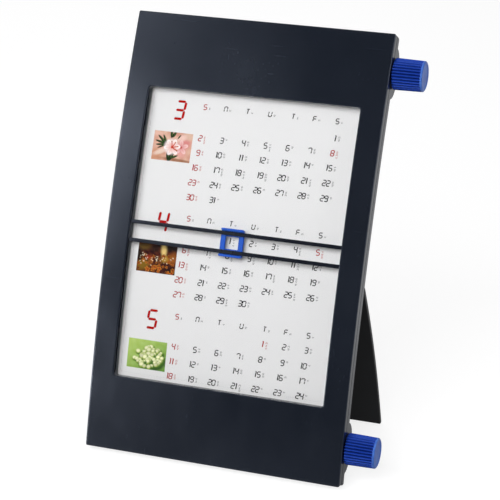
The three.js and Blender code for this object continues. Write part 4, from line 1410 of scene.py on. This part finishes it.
# %% Finishes for the hidden solids
HIDDEN = {
    "roller_tube": TUBE, "paper_roll": PAPER, "end_plug": PLUG, "drag_washer": FELT, "paper_platen": PLATEN,
}
for name, solid in frame["nodes"].items():
    for start, material in HIDDEN.items():
        if name.startswith(start):
            solid.data.materials.clear()
            solid.data.materials.append(material)
print("solids kept:", sorted(n for n in frame["nodes"] if not frame["nodes"][n].hide_render))

# %% [markdown]
# The stage is a plain pale floor that keeps the soft shadow, and a surround that is white to
# the camera. To the shiny faces the part of it in front of the calendar is dim, as a room
# behind a camera is, so the dark face stays dark.

# %% Floor and surround
def stage_floor(size=6.0):
    """A flat square, lit a little from itself for the camera and for reflections behind."""
    mesh = bpy.data.meshes.new("floor")
    corners = [(-size, -size, 0), (size, -size, 0), (size, size, 0), (-size, size, 0)]
    mesh.from_pydata(corners, [], [(0, 1, 2, 3)])
    floor = placed("floor", mesh)
    floor.location.z = -0.0001
    material, tree, shader, place = blank_material("floor_white")
    path = node(tree, "ShaderNodeLightPath").outputs
    seen = plus(tree, path["Is Camera Ray"], path["Is Transmission Ray"], True)
    behind = ramp(tree, node(tree, "ShaderNodeSeparateXYZ", {0: place}).outputs["Y"], -0.10, 0.18)
    mirrored = times(tree, path["Is Glossy Ray"], behind)
    fill(tree, shader, {
        "Base Color": (0.30, 0.30, 0.302, 1), "Roughness": 0.9, "Specular IOR Level": 0.1,
        "Emission Color": (1, 1, 1, 1),
        "Emission Strength": plus(tree, times(tree, seen, 0.80), times(tree, mirrored, 0.5)),
    })
    mesh.materials.append(material)


def surround():
    """White for the camera. For light and reflections it is dim in front and brighter behind."""
    world = bpy.data.worlds.new("surround")
    bpy.context.scene.world = world
    world.use_nodes = True
    tree = world.node_tree
    tree.nodes.clear()
    place = node(tree, "ShaderNodeTexCoord").outputs["Generated"]
    behind = ramp(tree, node(tree, "ShaderNodeSeparateXYZ", {0: place}).outputs["Y"], -0.55, 0.35)
    dim = plus(tree, times(tree, behind, 0.36), 0.015)
    by_camera = node(tree, "ShaderNodeLightPath").outputs["Is Camera Ray"]
    strength = node(tree, "ShaderNodeMix", {0: by_camera, 2: dim, 3: 1.0}, data_type="FLOAT")
    white = {"Color": (1, 1, 1, 1), "Strength": strength.outputs[0]}
    background = node(tree, "ShaderNodeBackground", white)
    node(tree, "ShaderNodeOutputWorld", {"Surface": background.outputs[0]})


stage_floor()
surround()

# %% [markdown]
# Six area lights. Three small ones on the left show only as reflections and make the sheen
# that fades across the case. A large one in front does the opposite: it lights the paper
# evenly and is kept out of the reflections. One on the right and one at the back do both.

# %% Lights
MIDDLE = np.array([0.0, 0.035, 0.1])


def softbox(name, direction, distance, size, radiance, diffuse=True, glossy=True):
    """An area light: its power is radiance * pi * area. It can be kept out of either reflection."""
    light = bpy.data.lights.new(name, "AREA")
    light.shape = "RECTANGLE"
    light.size, light.size_y = size
    light.energy = radiance * math.pi * size[0] * size[1]
    lamp = placed(name, light)
    direction = Vector(direction).normalized()
    lamp.location = Vector(MIDDLE) + direction * distance
    lamp.rotation_mode = "QUATERNION"
    lamp.rotation_quaternion = direction.to_track_quat("Z", "Y")
    lamp.visible_diffuse, lamp.visible_glossy = diffuse, glossy
    print(f"{name}: {light.energy:.2f} W")


def towards(left, up):
    """The direction so many degrees to the left of straight ahead of the case and above level."""
    left, up = math.radians(left), math.radians(up)
    return -math.sin(left) * math.cos(up), -math.cos(left) * math.cos(up), math.sin(up)


softbox("light_left", towards(37.2, 14), 0.773, (0.105, 0.55), 15.8, diffuse=False)
softbox("light_high", towards(38, 43), 0.85, (0.12, 0.24), 2.2, diffuse=False)
softbox("light_low", towards(39, -3), 0.72, (0.14, 0.11), 30.0, diffuse=False)
softbox("light_key", towards(10, 36), 0.95, (0.9, 0.6), 6.1, glossy=False)
softbox("light_right", towards(-84, 22), 0.90, (0.4, 0.5), 3.5)
softbox("light_back", towards(150, 30), 1.10, (0.7, 0.5), 1.6)

# %% [markdown]
# The camera looks down a little from the front right with a long lens, which keeps the case's
# edges nearly parallel. The small shift places the calendar in the frame without turning it.

# %% Camera
AZIMUTH, ELEVATION = math.radians(19.2849), math.radians(21.684)
DISTANCE = 0.880032
level = math.cos(ELEVATION)
back = Vector((math.sin(AZIMUTH) * level, -math.cos(AZIMUTH) * level, math.sin(ELEVATION)))
right = Vector((math.cos(AZIMUTH), math.sin(AZIMUTH), 0))
camera_data = bpy.data.cameras.new("camera")
camera = placed("camera", camera_data)
camera_data.sensor_width = 36.0
camera_data.lens = 136.914
camera_data.shift_x, camera_data.shift_y = 0.0242, -0.0291
camera_data.clip_start, camera_data.clip_end = 0.05, 50
aim = Vector(panel(0, 0, 0)) + Vector((0, 0.04, 0.1))
axes = Matrix((right, back.cross(right), back)).transposed().to_4x4()
camera.matrix_world = Matrix.Translation(aim + back * DISTANCE) @ axes
bpy.context.scene.camera = camera
bpy.context.scene.view_settings.view_transform = "Standard"
